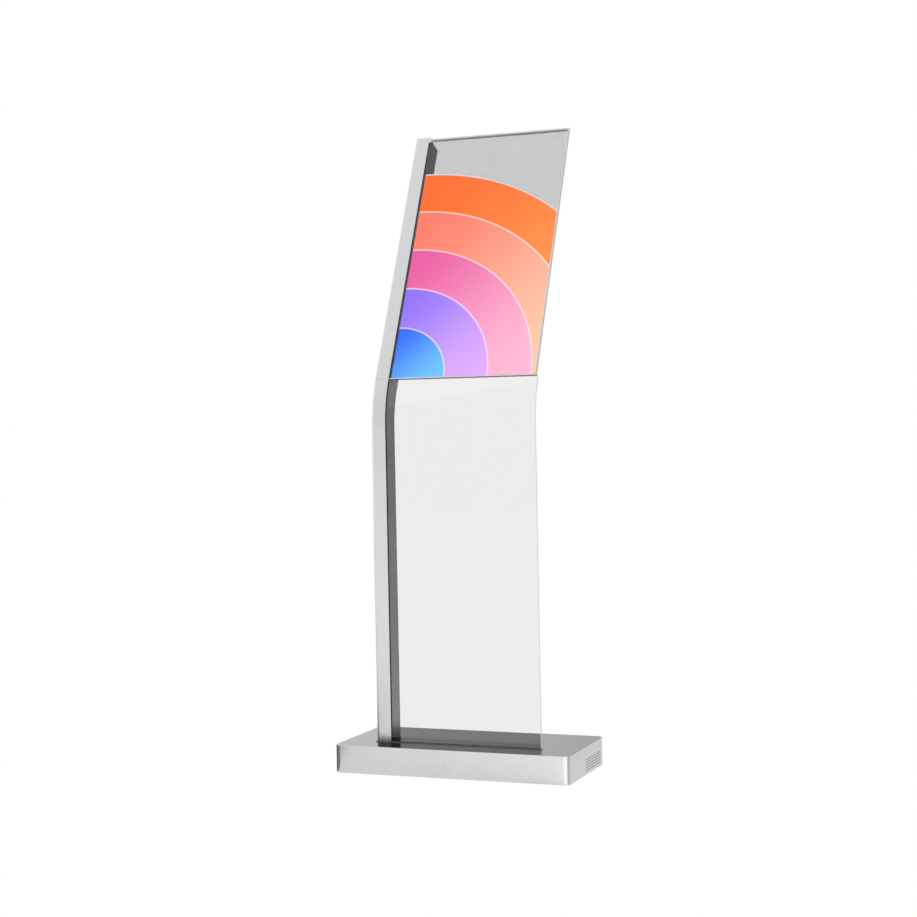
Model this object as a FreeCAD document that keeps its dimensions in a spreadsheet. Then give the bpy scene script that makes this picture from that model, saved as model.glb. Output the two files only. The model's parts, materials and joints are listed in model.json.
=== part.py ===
"""A floor-standing touch kiosk with a see-through portrait display.

A flat brushed-metal base carries one bent rectangular post at its left. The post has a groove down its right
side that holds the edge of the glass: a sheet that is upright below and curved at its top, and above it the
display laminate, which leans back. Millimetres, +X to the viewer's right, +Y away from the viewer, +Z up. The
origin is at floor level, in the middle of the base.
"""

import FreeCAD, Part
import math
import os

import Sketcher

Vector = FreeCAD.Vector

DIMENSIONS = {
    # base
    "base_width": 618, "base_depth": 291, "base_top": 70, "skirt_gap": 0.5, "base_corner": 15,
    "base_edge": 1.2, "cover_wall": 2,
    "vent_front": -9, "vent_length": 125, "vent_height": 1.4, "vent_low": 10.5, "vent_pitch": 6.6,
    "plate_low": 3, "plate_thick": 12, "plate_gap": 0.5,
    "anchor_dx": 190, "anchor_dy": 118, "anchor_hole": 6,
    "foot_dx": 280, "foot_dy": 118, "foot_pad": 17, "foot_pad_height": 5.5, "foot_stud": 4.95,
    "foot_stud_top": 44, "foot_recess": 19.5, "foot_recess_depth": 5.5, "nut_height": 8,
    "bracket_dx": 230, "bracket_width": 20, "bracket_leg": 18, "bracket_wall": 2, "bracket_height": 30,
    # bent post
    "post_left": -223, "post_width": 40, "post_depth": 64, "post_wall": 3, "post_corner": 8,
    "front_y": -76, "tilt": 25.4, "bend_start": 867.8, "bend_radius": 285,
    "groove_lip": 1.6, "groove_width": 9.8, "groove_depth": 12, "cap_thick": 2.5, "cap_plug": 10,
    "cap_rise": 3.5, "ear_width": 7, "ear_drop": 11,
    "seam_gap": 0.4,
    "flange_width": 110, "flange_depth": 104, "flange_thick": 8, "spigot_height": 17,
    "window_low": 44, "window_high": 63, "window_front": 40, "window_back": 59,
    "splice_front": 16.5, "splice_depth": 20, "splice_down": 25, "splice_up": 60,
    "hatch_low": 100, "hatch_high": 400, "hatch_side": 6, "hatch_lap": 3, "hatch_plate": 1.5,
    # glass
    "glass_thick": 8, "glass_front": 2.5, "glass_right": 215, "glass_foot": 24, "glass_stop": 0.2,
    "liner": 0.9, "shoe_wall": 4, "shoe_floor": 5, "shoe_top": 66, "shoe_liner": 2, "seal_rise": 1.8,
    "seal_lip": 1.0,
    # display
    "screen_length": 720.5, "screen_right": 210, "cover_glass": 3, "panel_thick": 2,
    "panel_right": 206, "panel_margin": 5, "border": 4.5,
    "trim": 1.2, "trim_leg": 2.4, "trim_lap": 1, "strip_lip": 1.6,
    "flex_width": 34, "flex_thick": 0.4,
    # electronics in the base
    "panel_left": -146, "panel_end": 156, "panel_low": 16, "panel_high": 64, "panel_lap": 6,
    "panel_plate": 1.5,
    "inlet_x": 120, "inlet_width": 27, "inlet_height": 20, "inlet_depth": 24,
    "switch_x": 80, "switch_width": 13, "switch_height": 19, "switch_depth": 18, "rocker_rest": -7,
    "socket_z": 39,
    "jack_x": -60, "usb_x": -95,
    "supply_x": 60, "supply_y": 0, "supply_length": 180, "supply_width": 97, "supply_height": 30,
    "board_x": -125, "board_y": 12, "board_length": 170, "board_width": 120, "board_thick": 1.6,
    "standoff": 8, "sink_size": 60, "sink_height": 25,
    "fan_x": 289, "fan_y": 54, "fan_z": 41.5, "fan_size": 50, "fan_thick": 15, "fan_hub": 11,
    "fan_tip": 22.5, "fan_bore": 23.5, "fan_shaft": 1.5, "fan_screw_reach": 20.5, "bracket_sheet": 1.5,
    "lead_radius": 3,
}

doc = FreeCAD.newDocument("kiosk")
sheet = doc.addObject("Spreadsheet::Sheet", "dims")
for row, (alias, number) in enumerate(DIMENSIONS.items(), start=1):
    sheet.set(f"A{row}", alias)
    sheet.set(f"B{row}", str(number))
    sheet.setAlias(f"B{row}", alias)
doc.recompute()

nodes = []

# Expressions that several pieces share.
POST_RIGHT = "(dims.post_left + dims.post_width)"
GROOVE_X = "(dims.post_left + dims.post_width - dims.groove_depth)"
GROOVE_END = "(dims.groove_lip + dims.groove_width)"
GLASS_BACK = "(dims.glass_front + dims.glass_thick)"
PLATE_TOP = "(dims.plate_low + dims.plate_thick)"
SEAM_Y = "(dims.front_y + dims.bend_radius * (1 - cos(dims.tilt)))"
SEAM_Z = "(dims.bend_start + dims.bend_radius * sin(dims.tilt))"
FAN = "placement(vector(dims.fan_x; dims.fan_y; dims.fan_z); rotation(vector(0; 0; 1); 0))"
UPRIGHT = "placement(vector(0; 0; 0); rotation(vector(0; 0; 1); 0))"
LEANING = f"placement(vector(0; {SEAM_Y}; {SEAM_Z}); rotation(vector(1; 0; 0); -dims.tilt))"


def size(expression):
    """Return the number that an expression on the sheet stands for."""
    return float(sheet.evalExpression(str(expression)))


def keep(piece, label):
    """Name a finished piece and put it on the list of pieces to write."""
    piece.Label = label
    nodes.append(piece)
    return piece


# Features of bodies


def new_body(label, frame=UPRIGHT):
    """Start a body whose own frame is an expression."""
    body = keep(doc.addObject("PartDesign::Body", label), label)
    body.setExpression("Placement", frame)
    return body


def sketch_on(body, name, role="XY_Plane", offset="0"):
    """Attach a sketch to one of the body's origin planes, moved along its normal."""
    sketch = body.newObject("Sketcher::SketchObject", name)
    plane = next(item for item in body.Origin.OriginFeatures if item.Role == role)
    sketch.AttachmentSupport = [(plane, "")]
    sketch.MapMode = "FlatFace"
    sketch.setExpression(".AttachmentOffset.Base.z", str(offset))
    return sketch


def place_point(sketch, element, end, x, y):
    """Hold one point of a sketch at two distances from its origin."""
    for kind, expression in (("DistanceX", x), ("DistanceY", y)):
        index = sketch.addConstraint(Sketcher.Constraint(kind, -1, 1, element, end, size(expression)))
        sketch.setExpression(f"Constraints[{index}]", str(expression))


def polygon(sketch, points):
    """Draw a closed outline with straight sides."""
    corners = [Vector(size(x), size(y), 0) for x, y in points]
    first = sketch.GeometryCount
    count = len(points)
    for index in range(count):
        sketch.addGeometry(Part.LineSegment(corners[index], corners[(index + 1) % count]))
    for index in range(count):
        follower = first + (index + 1) % count
        sketch.addConstraint(Sketcher.Constraint("Coincident", first + index, 2, follower, 1))
        place_point(sketch, first + index, 1, *points[index])


def rectangle(sketch, left, bottom, right, top):
    """Draw a rectangle between two corners."""
    polygon(sketch, [(left, bottom), (right, bottom), (right, top), (left, top)])


def rounded_rectangle(sketch, half_width, half_depth, radius):
    """Draw a rectangle about the origin with an arc in each corner."""
    across, along, bend = size(half_width), size(half_depth), size(radius)
    inner_x, inner_y = f"({half_width} - ({radius}))", f"({half_depth} - ({radius}))"
    sides = [
        ((f"-{inner_x}", f"-{half_depth}"), (inner_x, f"-{half_depth}")),
        ((half_width, f"-{inner_y}"), (half_width, inner_y)),
        ((inner_x, half_depth), (f"-{inner_x}", half_depth)),
        ((f"-{half_width}", inner_y), (f"-{half_width}", f"-{inner_y}")),
    ]
    for start, end in sides:
        line = sketch.addGeometry(
            Part.LineSegment(Vector(*map(size, start), 0), Vector(*map(size, end), 0))
        )
        place_point(sketch, line, 1, *start)
        place_point(sketch, line, 2, *end)
    for corner, (side_x, side_y) in enumerate(((1, -1), (1, 1), (-1, 1), (-1, -1))):
        centre = Vector(side_x * (across - bend), side_y * (along - bend), 0)
        start = math.radians(90 * corner - 90)
        arc = sketch.addGeometry(
            Part.ArcOfCircle(Part.Circle(centre, Vector(0, 0, 1), bend), start, start + math.pi / 2)
        )
        sketch.addConstraint(Sketcher.Constraint("Coincident", corner, 2, arc, 1))
        sketch.addConstraint(Sketcher.Constraint("Coincident", arc, 2, (corner + 1) % 4, 1))
        index = sketch.addConstraint(Sketcher.Constraint("Radius", arc, bend))
        sketch.setExpression(f"Constraints[{index}]", str(radius))


def circle(sketch, x, y, radius):
    """Draw a circle."""
    index = sketch.addGeometry(Part.Circle(Vector(size(x), size(y), 0), Vector(0, 0, 1), size(radius)))
    place_point(sketch, index, 3, x, y)
    constraint = sketch.addConstraint(Sketcher.Constraint("Radius", index, size(radius)))
    sketch.setExpression(f"Constraints[{constraint}]", str(radius))


def pad(body, sketch, length, name="Pad"):
    """Raise a sketch along its plane's normal."""
    feature = body.newObject("PartDesign::Pad", name)
    feature.Profile = sketch
    feature.setExpression("Length", str(length))
    body.Tip = feature
    doc.recompute()
    return feature


def pocket(body, sketch, length, name="Pocket", along_normal=False):
    """Cut a sketch out of the body and make sure that something was cut."""
    before = body.Shape.Volume
    feature = body.newObject("PartDesign::Pocket", name)
    feature.Profile = sketch
    feature.setExpression("Length", str(length))
    feature.Reversed = along_normal
    body.Tip = feature
    doc.recompute()
    if body.Shape.Volume >= before:
        raise RuntimeError(f"{body.Label}: {name} cuts nothing")
    return feature


def fillet(body, radius, chosen, name="Fillet"):
    """Round the edges of the tip that a test on the edge picks out."""
    tip = body.Tip
    edges = [f"Edge{n}" for n, edge in enumerate(tip.Shape.Edges, start=1) if chosen(edge)]
    if not edges:
        raise RuntimeError(f"{body.Label}: {name} finds no edge")
    feature = body.newObject("PartDesign::Fillet", name)
    feature.Base = (tip, edges)
    feature.setExpression("Radius", str(radius))
    body.Tip = feature
    doc.recompute()
    return feature


def is_vertical(edge):
    """Tell whether a straight edge runs along Z."""
    box = edge.BoundBox
    return box.XLength < 1e-6 and box.YLength < 1e-6 and box.ZLength > 1e-6


def lies_at(edge, x=None, y=None, z=None):
    """Tell whether an edge lies wholly at the given coordinates."""
    box = edge.BoundBox
    spans = ((x, box.XMin, box.XMax), (y, box.YMin, box.YMax), (z, box.ZMin, box.ZMax))
    return all(at is None or (abs(low - at) < 1e-4 and abs(high - at) < 1e-4) for at, low, high in spans)


def bent_path(body, name, low, end_angle):
    """Draw the line and arc, in the post's front plane, that the post and the lower glass follow."""
    path = sketch_on(body, name, "YZ_Plane", "dims.post_left")
    front, start, radius = size("dims.front_y"), size("dims.bend_start"), size("dims.bend_radius")
    turn = math.radians(size(end_angle))
    path.addGeometry(Part.LineSegment(Vector(front, size(low), 0), Vector(front, start, 0)))
    centre = Part.Circle(Vector(front + radius, start, 0), Vector(0, 0, 1), radius)
    path.addGeometry(Part.ArcOfCircle(centre, math.pi - turn, math.pi))
    path.addConstraint(Sketcher.Constraint("Coincident", 0, 2, 1, 2))
    place_point(path, 0, 1, "dims.front_y", low)
    place_point(path, 0, 2, "dims.front_y", "dims.bend_start")
    place_point(path, 1, 3, "dims.front_y + dims.bend_radius", "dims.bend_start")
    rise = path.addConstraint(
        Sketcher.Constraint("DistanceY", -1, 1, 1, 1, start + radius * math.sin(turn))
    )
    path.setExpression(
        f"Constraints[{rise}]", f"dims.bend_start + dims.bend_radius * sin({end_angle})"
    )
    return path


def bent_sweep(body, profile, path):
    """Sweep a profile up the straight run and round the bend."""
    sweep = body.newObject("PartDesign::AdditivePipe", "BentSweep")
    sweep.Profile = profile
    sweep.Spine = (path, ["Edge1", "Edge2"])
    body.Tip = sweep
    doc.recompute()
    return sweep


# Primitives and booleans


def at(frame, x, y, z, axis="vector(0; 0; 1)", angle="0"):
    """Return the placement expression of a piece at a point of a frame."""
    return f"{frame} * placement(vector({x}; {y}; {z}); rotation({axis}; {angle}))"


def box(low, high, frame=UPRIGHT, name="Box"):
    """Make a block between two corners given in a frame."""
    block = doc.addObject("Part::Box", name)
    for prop, start, end in zip(("Length", "Width", "Height"), low, high):
        block.setExpression(prop, f"({end}) - ({start})")
    block.setExpression("Placement", at(frame, *low))
    return block


def cylinder(foot, radius, height, frame=UPRIGHT, axis="vector(0; 0; 1)", angle="0", name="Cylinder"):
    """Make a cylinder that stands on a point of a frame."""
    rod = doc.addObject("Part::Cylinder", name)
    rod.setExpression("Radius", str(radius))
    rod.setExpression("Height", str(height))
    rod.setExpression("Placement", at(frame, *foot, axis, angle))
    return rod


def fuse(parts, name="Fuse"):
    """Join overlapping or touching shapes into one solid."""
    joined = doc.addObject("Part::MultiFuse", name)
    joined.Shapes = parts
    joined.Refine = True
    return joined


def cut(base, tool, name="Cut"):
    """Take one shape away from another."""
    result = doc.addObject("Part::Cut", name)
    result.Base = base
    result.Tool = tool
    return result


def group(parts, label):
    """Keep separate solids of the same kind as one piece."""
    bundle = doc.addObject("Part::Compound", label)
    bundle.Links = parts
    return keep(bundle, label)


# Turning a standing shape so that its top points along another axis.
TO_RIGHT = ("vector(0; 1; 0)", "90")
TO_LEFT = ("vector(0; 1; 0)", "-90")
TO_BACK = ("vector(1; 0; 0)", "-90")
TO_FRONT = ("vector(1; 0; 0)", "90")
UPWARD = ("vector(0; 0; 1)", "0")
DOWNWARD = ("vector(1; 0; 0)", "180")


def button_screw(point, turn, shank, length, frame=UPRIGHT):
    """Make a round-headed screw: the head stands on the surface at point, the shank goes in behind it."""
    head_height = shank * 0.9
    local = at(frame, *point, *turn)
    head = doc.addObject("Part::Cone", "ScrewHead")
    head.Radius1 = shank * 1.9
    head.Radius2 = shank * 1.25
    head.Height = head_height
    head.setExpression("Placement", at(local, 0, 0, 0))
    rod = cylinder((0, 0, -length), shank, length, local)
    socket = doc.addObject("Part::Prism", "Socket")
    socket.Polygon = 6
    socket.Circumradius = shank * 0.65
    socket.Height = head_height
    socket.setExpression("Placement", at(local, 0, 0, head_height * 0.4))
    return cut(fuse([head, rod]), socket)


def tube(label, points, radii, radius):
    """Make a round lead along straight runs joined by tangent arcs, one radius for each inner point."""
    corners = [Vector(*(size(value) for value in point)) for point in points]
    edges = []
    start = corners[0]
    for before, corner, after, bend in zip(corners, corners[1:], corners[2:], radii):
        arriving = (corner - before).normalize()
        leaving = (after - corner).normalize()
        turn = arriving.getAngle(leaving)
        reach = bend * math.tan(turn / 2)
        first = corner - arriving * reach
        last = corner + leaving * reach
        inward = (leaving - arriving).normalize()
        middle = corner + inward * (bend / math.cos(turn / 2) - bend)
        edges.append(Part.LineSegment(start, first).toShape())
        edges.append(Part.Arc(first, middle, last).toShape())
        start = last
    edges.append(Part.LineSegment(start, corners[-1]).toShape())
    path = Part.Wire(edges)
    heading = (corners[1] - corners[0]).normalize()
    section = Part.Wire(Part.Circle(corners[0], heading, radius).toShape())
    solid = path.makePipeShell([section], True, False)
    expected = math.pi * radius**2 * path.Length
    if abs(solid.Volume - expected) > 0.02 * expected:
        raise RuntimeError(f"{label}: its volume doesn't match its length")
    print(f"{label}: {path.Length:.0f} mm long, bends of {', '.join(str(bend) for bend in radii)} mm")
    lead = doc.addObject("Part::Feature", label)
    lead.Shape = solid
    lead.Placement = FreeCAD.Placement()
    return keep(lead, label)


# Base


def make_base_cover():
    """The brushed metal box: open below, vented at both sides, cut out for the post, glass and rear panel."""
    body = new_body("base_cover")
    wall = "dims.cover_wall"
    outline = sketch_on(body, "Outline", offset="dims.skirt_gap")
    rounded_rectangle(outline, "dims.base_width / 2", "dims.base_depth / 2", "dims.base_corner")
    pad(body, outline, "dims.base_top - dims.skirt_gap")
    fillet(body, "dims.base_edge", lambda edge: lies_at(edge, z=size("dims.base_top")), "TopEdge")
    inside = sketch_on(body, "Inside", offset="dims.skirt_gap")
    rounded_rectangle(
        inside, f"(dims.base_width / 2 - {wall})", f"(dims.base_depth / 2 - {wall})",
        f"dims.base_corner - {wall}",
    )
    pocket(body, inside, f"dims.base_top - dims.skirt_gap - {wall}", "Hollow", along_normal=True)
    lip = "dims.seal_lip"
    post = sketch_on(body, "PostOpening", offset="dims.base_top")
    rectangle(
        post, f"dims.post_left - {lip}", f"dims.front_y - {lip}",
        f"{POST_RIGHT} + {lip}", f"dims.front_y + dims.post_depth + {lip}",
    )
    pocket(body, post, f"{wall} + 1", "PostCutout")
    slit = sketch_on(body, "GlassOpening", offset="dims.base_top")
    rectangle(
        slit, POST_RIGHT, f"dims.front_y + dims.glass_front - {lip}",
        f"dims.glass_right + {lip}", f"dims.front_y + {GLASS_BACK} + {lip}",
    )
    pocket(body, slit, f"{wall} + 1", "GlassSlit")
    rear = sketch_on(body, "RearOpening", "XZ_Plane", "-dims.base_depth / 2 - 1")
    rectangle(
        rear, "dims.panel_left + dims.panel_lap", "dims.panel_low + dims.panel_lap",
        "dims.panel_end - dims.panel_lap", "dims.panel_high - dims.panel_lap",
    )
    for x, z in panel_screw_points():
        circle(rear, x, z, 1.25)
    pocket(body, rear, f"{wall} + 2", "RearCutout", along_normal=True)
    make_vents(body)


def make_vents(body):
    """One round-ended slot through both side walls, repeated upwards."""
    vent = sketch_on(body, "Vent", "YZ_Plane", "dims.base_width / 2 + 1")
    front, length = size("dims.vent_front"), size("dims.vent_length")
    low, half = size("dims.vent_low"), size("dims.vent_height / 2")
    back = front + length
    vent.addGeometry(Part.LineSegment(Vector(front, low - half, 0), Vector(back, low - half, 0)))
    vent.addGeometry(
        Part.ArcOfCircle(Part.Circle(Vector(back, low, 0), Vector(0, 0, 1), half), -math.pi / 2, math.pi / 2)
    )
    vent.addGeometry(Part.LineSegment(Vector(back, low + half, 0), Vector(front, low + half, 0)))
    vent.addGeometry(
        Part.ArcOfCircle(
            Part.Circle(Vector(front, low, 0), Vector(0, 0, 1), half), math.pi / 2, 3 * math.pi / 2
        )
    )
    for first, second in ((0, 1), (1, 2), (2, 3), (3, 0)):
        vent.addConstraint(Sketcher.Constraint("Coincident", first, 2, second, 1))
    place_point(vent, 1, 3, "dims.vent_front + dims.vent_length", "dims.vent_low")
    place_point(vent, 3, 3, "dims.vent_front", "dims.vent_low")
    place_point(vent, 0, 1, "dims.vent_front", "dims.vent_low - dims.vent_height / 2")
    place_point(vent, 1, 2, "dims.vent_front + dims.vent_length", "dims.vent_low + dims.vent_height / 2")
    slot = pocket(body, vent, "dims.base_width + 2", "VentSlot")
    row = body.newObject("PartDesign::LinearPattern", "VentRow")
    row.Originals = [slot]
    row.Direction = (vent, ["V_Axis"])
    row.setExpression("Length", "dims.vent_pitch * 4")
    row.Occurrences = 5
    body.Tip = row
    doc.recompute()


def spread(dx, dy):
    """Return four points placed symmetrically about the origin."""
    return [(f"{sx} * {dx}", f"{sy} * {dy}") for sx in (-1, 1) for sy in (-1, 1)]


def bracket_screw_dy():
    """Return how far the cover's screws stand in front of and behind the middle of the base."""
    return "(dims.base_depth / 2 - dims.cover_wall - dims.bracket_leg / 2)"


def make_base_plate():
    """The steel ballast plate, recessed for the feet and drilled for the anchors, the post and the cover."""
    body = new_body("base_plate")
    inset = "(dims.cover_wall + dims.plate_gap)"
    outline = sketch_on(body, "Outline", offset="dims.plate_low")
    rounded_rectangle(
        outline, f"(dims.base_width / 2 - {inset})", f"(dims.base_depth / 2 - {inset})",
        f"dims.base_corner - {inset}",
    )
    pad(body, outline, "dims.plate_thick")
    through = "dims.plate_thick + 1"
    bores = (
        ("FootRecess", spread("dims.foot_dx", "dims.foot_dy"), "dims.foot_recess", "dims.foot_recess_depth"),
        ("FootThread", spread("dims.foot_dx", "dims.foot_dy"), "dims.foot_stud + 0.05", through),
        ("Anchor", spread("dims.anchor_dx", "dims.anchor_dy"), "dims.anchor_hole", through),
        ("CoverScrew", spread("dims.bracket_dx", bracket_screw_dy()), 2.55, through),
        ("CoverScrewHead", spread("dims.bracket_dx", bracket_screw_dy()), 5.5, "dims.foot_recess_depth"),
        ("PostBolt", post_bolt_points(), 4.05, through),
    )
    for name, points, radius, depth in bores:
        holes = sketch_on(body, f"{name}Holes", offset="dims.plate_low")
        for x, y in points:
            circle(holes, x, y, radius)
        pocket(body, holes, depth, name, along_normal=True)


def post_bolt_points():
    """Return the four bolts of the post's foot, near the corners of its flange."""
    middle_x = "(dims.post_left + dims.post_width / 2)"
    middle_y = "(dims.front_y + dims.post_depth / 2)"
    reach_x, reach_y = "(dims.flange_width / 2 - 14)", "(dims.flange_depth / 2 - 14)"
    return [(f"{middle_x} + {x}", f"{middle_y} + {y}") for x, y in spread(reach_x, reach_y)]


def make_feet():
    """Four levelling feet, each a pad and a stud turned in one piece, with a nut on the plate."""
    names = ("foot_front_left", "foot_rear_left", "foot_front_right", "foot_rear_right")
    nuts = []
    for label, (x, y) in zip(names, spread("dims.foot_dx", "dims.foot_dy")):
        body = new_body(label, at(UPRIGHT, x, y, 0))
        section = sketch_on(body, "Section", "XZ_Plane")
        pad_radius, pad_top = "dims.foot_pad", "dims.foot_pad_height"
        polygon(section, [
            (0, 0), (f"{pad_radius} - 1.5", 0), (pad_radius, 1.5), (pad_radius, f"{pad_top} - 1.5"),
            (f"{pad_radius} - 3", pad_top), ("dims.foot_stud", pad_top),
            ("dims.foot_stud", "dims.foot_stud_top - 1"), ("dims.foot_stud - 1", "dims.foot_stud_top"),
            (0, "dims.foot_stud_top"),
        ])
        turned = body.newObject("PartDesign::Revolution", "Turned")
        turned.Profile = section
        turned.ReferenceAxis = (section, ["V_Axis"])
        turned.Angle = 360
        body.Tip = turned
        doc.recompute()
        nut = doc.addObject("Part::Prism", "Nut")
        nut.Polygon = 6
        nut.Circumradius = 9.8
        nut.setExpression("Height", "dims.nut_height")
        nut.setExpression("Placement", at(UPRIGHT, x, y, PLATE_TOP))
        bore = cylinder((x, y, PLATE_TOP), "dims.foot_stud + 0.05", "dims.nut_height")
        nuts.append(cut(nut, bore))
    group(nuts, "foot_lock_nuts")


def make_cover_fixings():
    """Four angle brackets inside the cover, and the screws that reach them from below."""
    brackets = []
    screws = []
    wall = "(dims.base_depth / 2 - dims.cover_wall)"
    for x, y in spread("dims.bracket_dx", bracket_screw_dy()):
        side = "-1" if y.startswith("-1") else "1"
        left, right = f"{x} - dims.bracket_width / 2", f"{x} + dims.bracket_width / 2"
        edges = sorted((f"{side} * {wall}", f"{side} * ({wall} - dims.bracket_leg)"), key=size)
        skin = sorted((f"{side} * {wall}", f"{side} * ({wall} - dims.bracket_wall)"), key=size)
        sole = box((left, edges[0], PLATE_TOP), (right, edges[1], f"{PLATE_TOP} + dims.bracket_wall"))
        upright = box((left, skin[0], PLATE_TOP), (right, skin[1], f"{PLATE_TOP} + dims.bracket_height"))
        hole = cylinder((x, y, PLATE_TOP), 2.55, "dims.bracket_wall")
        brackets.append(cut(fuse([sole, upright]), hole))
        seat = "dims.plate_low + dims.foot_recess_depth"
        screws.append(button_screw((x, y, seat), DOWNWARD, 2.5, 9.5))
    group(brackets, "cover_brackets")
    group(screws, "cover_screws")


# Post


def post_outline(sketch, origin="0"):
    """Draw the post's section: a rectangle with the glass groove in its right side."""
    left, right = "dims.post_left", POST_RIGHT
    outer = [
        (left, 0), (right, 0), (right, "dims.groove_lip"), (GROOVE_X, "dims.groove_lip"),
        (GROOVE_X, GROOVE_END), (right, GROOVE_END), (right, "dims.post_depth"), (left, "dims.post_depth"),
    ]
    polygon(sketch, [(x, f"({y}) + ({origin})") for x, y in outer])


def post_hollow(sketch, origin="0"):
    """Draw the inside of the post, one wall in from its section and cut off behind its round corner."""
    wall, bevel = "dims.post_wall", "dims.post_corner / 2"
    inner = [
        (f"dims.post_left + {wall}", f"{wall} + {bevel}"), (f"dims.post_left + {wall} + {bevel}", wall),
        (f"{GROOVE_X} - {wall}", wall),
        (f"{GROOVE_X} - {wall}", f"{GROOVE_END} + {wall}"),
        (f"{POST_RIGHT} - {wall}", f"{GROOVE_END} + {wall}"),
        (f"{POST_RIGHT} - {wall}", f"dims.post_depth - {wall}"),
        (f"dims.post_left + {wall}", f"dims.post_depth - {wall}"),
    ]
    polygon(sketch, [(x, f"({y}) + ({origin})") for x, y in inner])


def is_long(edge):
    """Tell whether an edge belongs to one of the post's long runs."""
    return edge.Length > 100


def round_post(body, back):
    """Round the long edges: generously at the front left, lightly at the two back edges."""
    left, right = size("dims.post_left"), size(POST_RIGHT)

    def corner(edge, x, beyond):
        """Return whether edge is a long one that lies at x and where beyond allows."""
        bounds = edge.BoundBox
        at_x = abs(bounds.XMin - x) < 1e-4 and abs(bounds.XMax - x) < 1e-4
        return is_long(edge) and at_x and beyond(bounds.YMin)

    fillet(body, "dims.post_corner", lambda edge: corner(edge, left, lambda y: y < back - 20), "FrontCorner")
    fillet(
        body, 1.5,
        lambda edge: any(corner(edge, side, lambda y: y > back - 20) for side in (left, right)),
        "BackCorners",
    )


def make_lower_post():
    """The upright length of the post and its bend, up to the seam."""
    body = new_body("lower_post")
    section = sketch_on(body, "Section", offset=PLATE_TOP + " + dims.flange_thick")
    post_outline(section, "dims.front_y")
    post_hollow(section, "dims.front_y")
    path = bent_path(body, "Path", PLATE_TOP + " + dims.flange_thick", "dims.tilt")
    bent_sweep(body, section, path)
    round_post(body, size("dims.front_y + dims.post_depth"))
    window = sketch_on(body, "CableWindow", "YZ_Plane", f"{POST_RIGHT} + 1")
    rectangle(
        window, "dims.front_y + dims.window_front", "dims.window_low",
        "dims.front_y + dims.window_back", "dims.window_high",
    )
    pocket(body, window, "dims.post_wall + 2", "CableWindowCut")


def make_upper_post():
    """The leaning length of the post, open at the back for its service hatch."""
    body = new_body("upper_post", LEANING)
    section = sketch_on(body, "Section", offset="dims.seam_gap")
    post_outline(section)
    post_hollow(section)
    pad(body, section, "dims.screen_length - dims.cap_thick - dims.seam_gap")
    round_post(body, size("dims.post_depth"))
    hatch = sketch_on(body, "Hatch", "XZ_Plane", "-dims.post_depth - 1")
    rectangle(
        hatch, "dims.post_left + dims.hatch_side", "dims.hatch_low",
        f"{POST_RIGHT} - dims.hatch_side", "dims.hatch_high",
    )
    pocket(body, hatch, "dims.post_wall + 2", "HatchCut", along_normal=True)
    slits = sketch_on(body, "FlexSlits", "YZ_Plane", f"{GROOVE_X} + 0.5")
    for low in flex_heights():
        high = f"{low} + dims.flex_width + 1"
        rectangle(slits, "dims.glass_front + 2", f"{low} - 1", "dims.glass_front + 7", high)
    pocket(body, slits, "dims.post_wall + 1", "FlexSlitCut")


def flex_heights():
    """Return where up the display each ribbon leaves it."""
    return ["150", "230", "310"]


def make_post_cap():
    """The end cap: a plate that stands a little proud, a plug inside the post and an ear over the glass."""
    body = new_body("post_cap", LEANING)
    seat = "dims.screen_length - dims.cap_thick"
    top = "dims.screen_length + dims.cap_rise"
    plate = sketch_on(body, "Plate", offset=seat)
    rectangle(plate, "dims.post_left", 0, POST_RIGHT, "dims.post_depth")
    pad(body, plate, f"({top}) - ({seat})")
    left = size("dims.post_left")
    short = size(f"({top}) - ({seat})") + 1
    fillet(
        body, "dims.post_corner", lambda edge: edge.Length < short and lies_at(edge, x=left), "LeftCorners"
    )
    plug = sketch_on(body, "Plug", offset=f"{seat} - dims.cap_plug")
    wall = "dims.post_wall + 0.2"
    rectangle(
        plug, f"dims.post_left + {wall}", f"{GROOVE_END} + {wall}",
        f"{POST_RIGHT} - ({wall})", f"dims.post_depth - ({wall})",
    )
    pad(body, plug, "dims.cap_plug", "PlugPad")
    ear = sketch_on(body, "Ear", "XZ_Plane", "-dims.glass_front")
    polygon(ear, [
        (f"{POST_RIGHT} + 0.1", f"{seat} - dims.ear_drop + 3"),
        (f"{POST_RIGHT} + dims.ear_width", f"{seat} - dims.ear_drop"),
        (f"{POST_RIGHT} + dims.ear_width", "dims.screen_length"), (POST_RIGHT, top), (POST_RIGHT, seat),
        (f"{POST_RIGHT} + 0.1", seat),
    ])
    pad(body, ear, "dims.glass_front", "EarPad")


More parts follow.
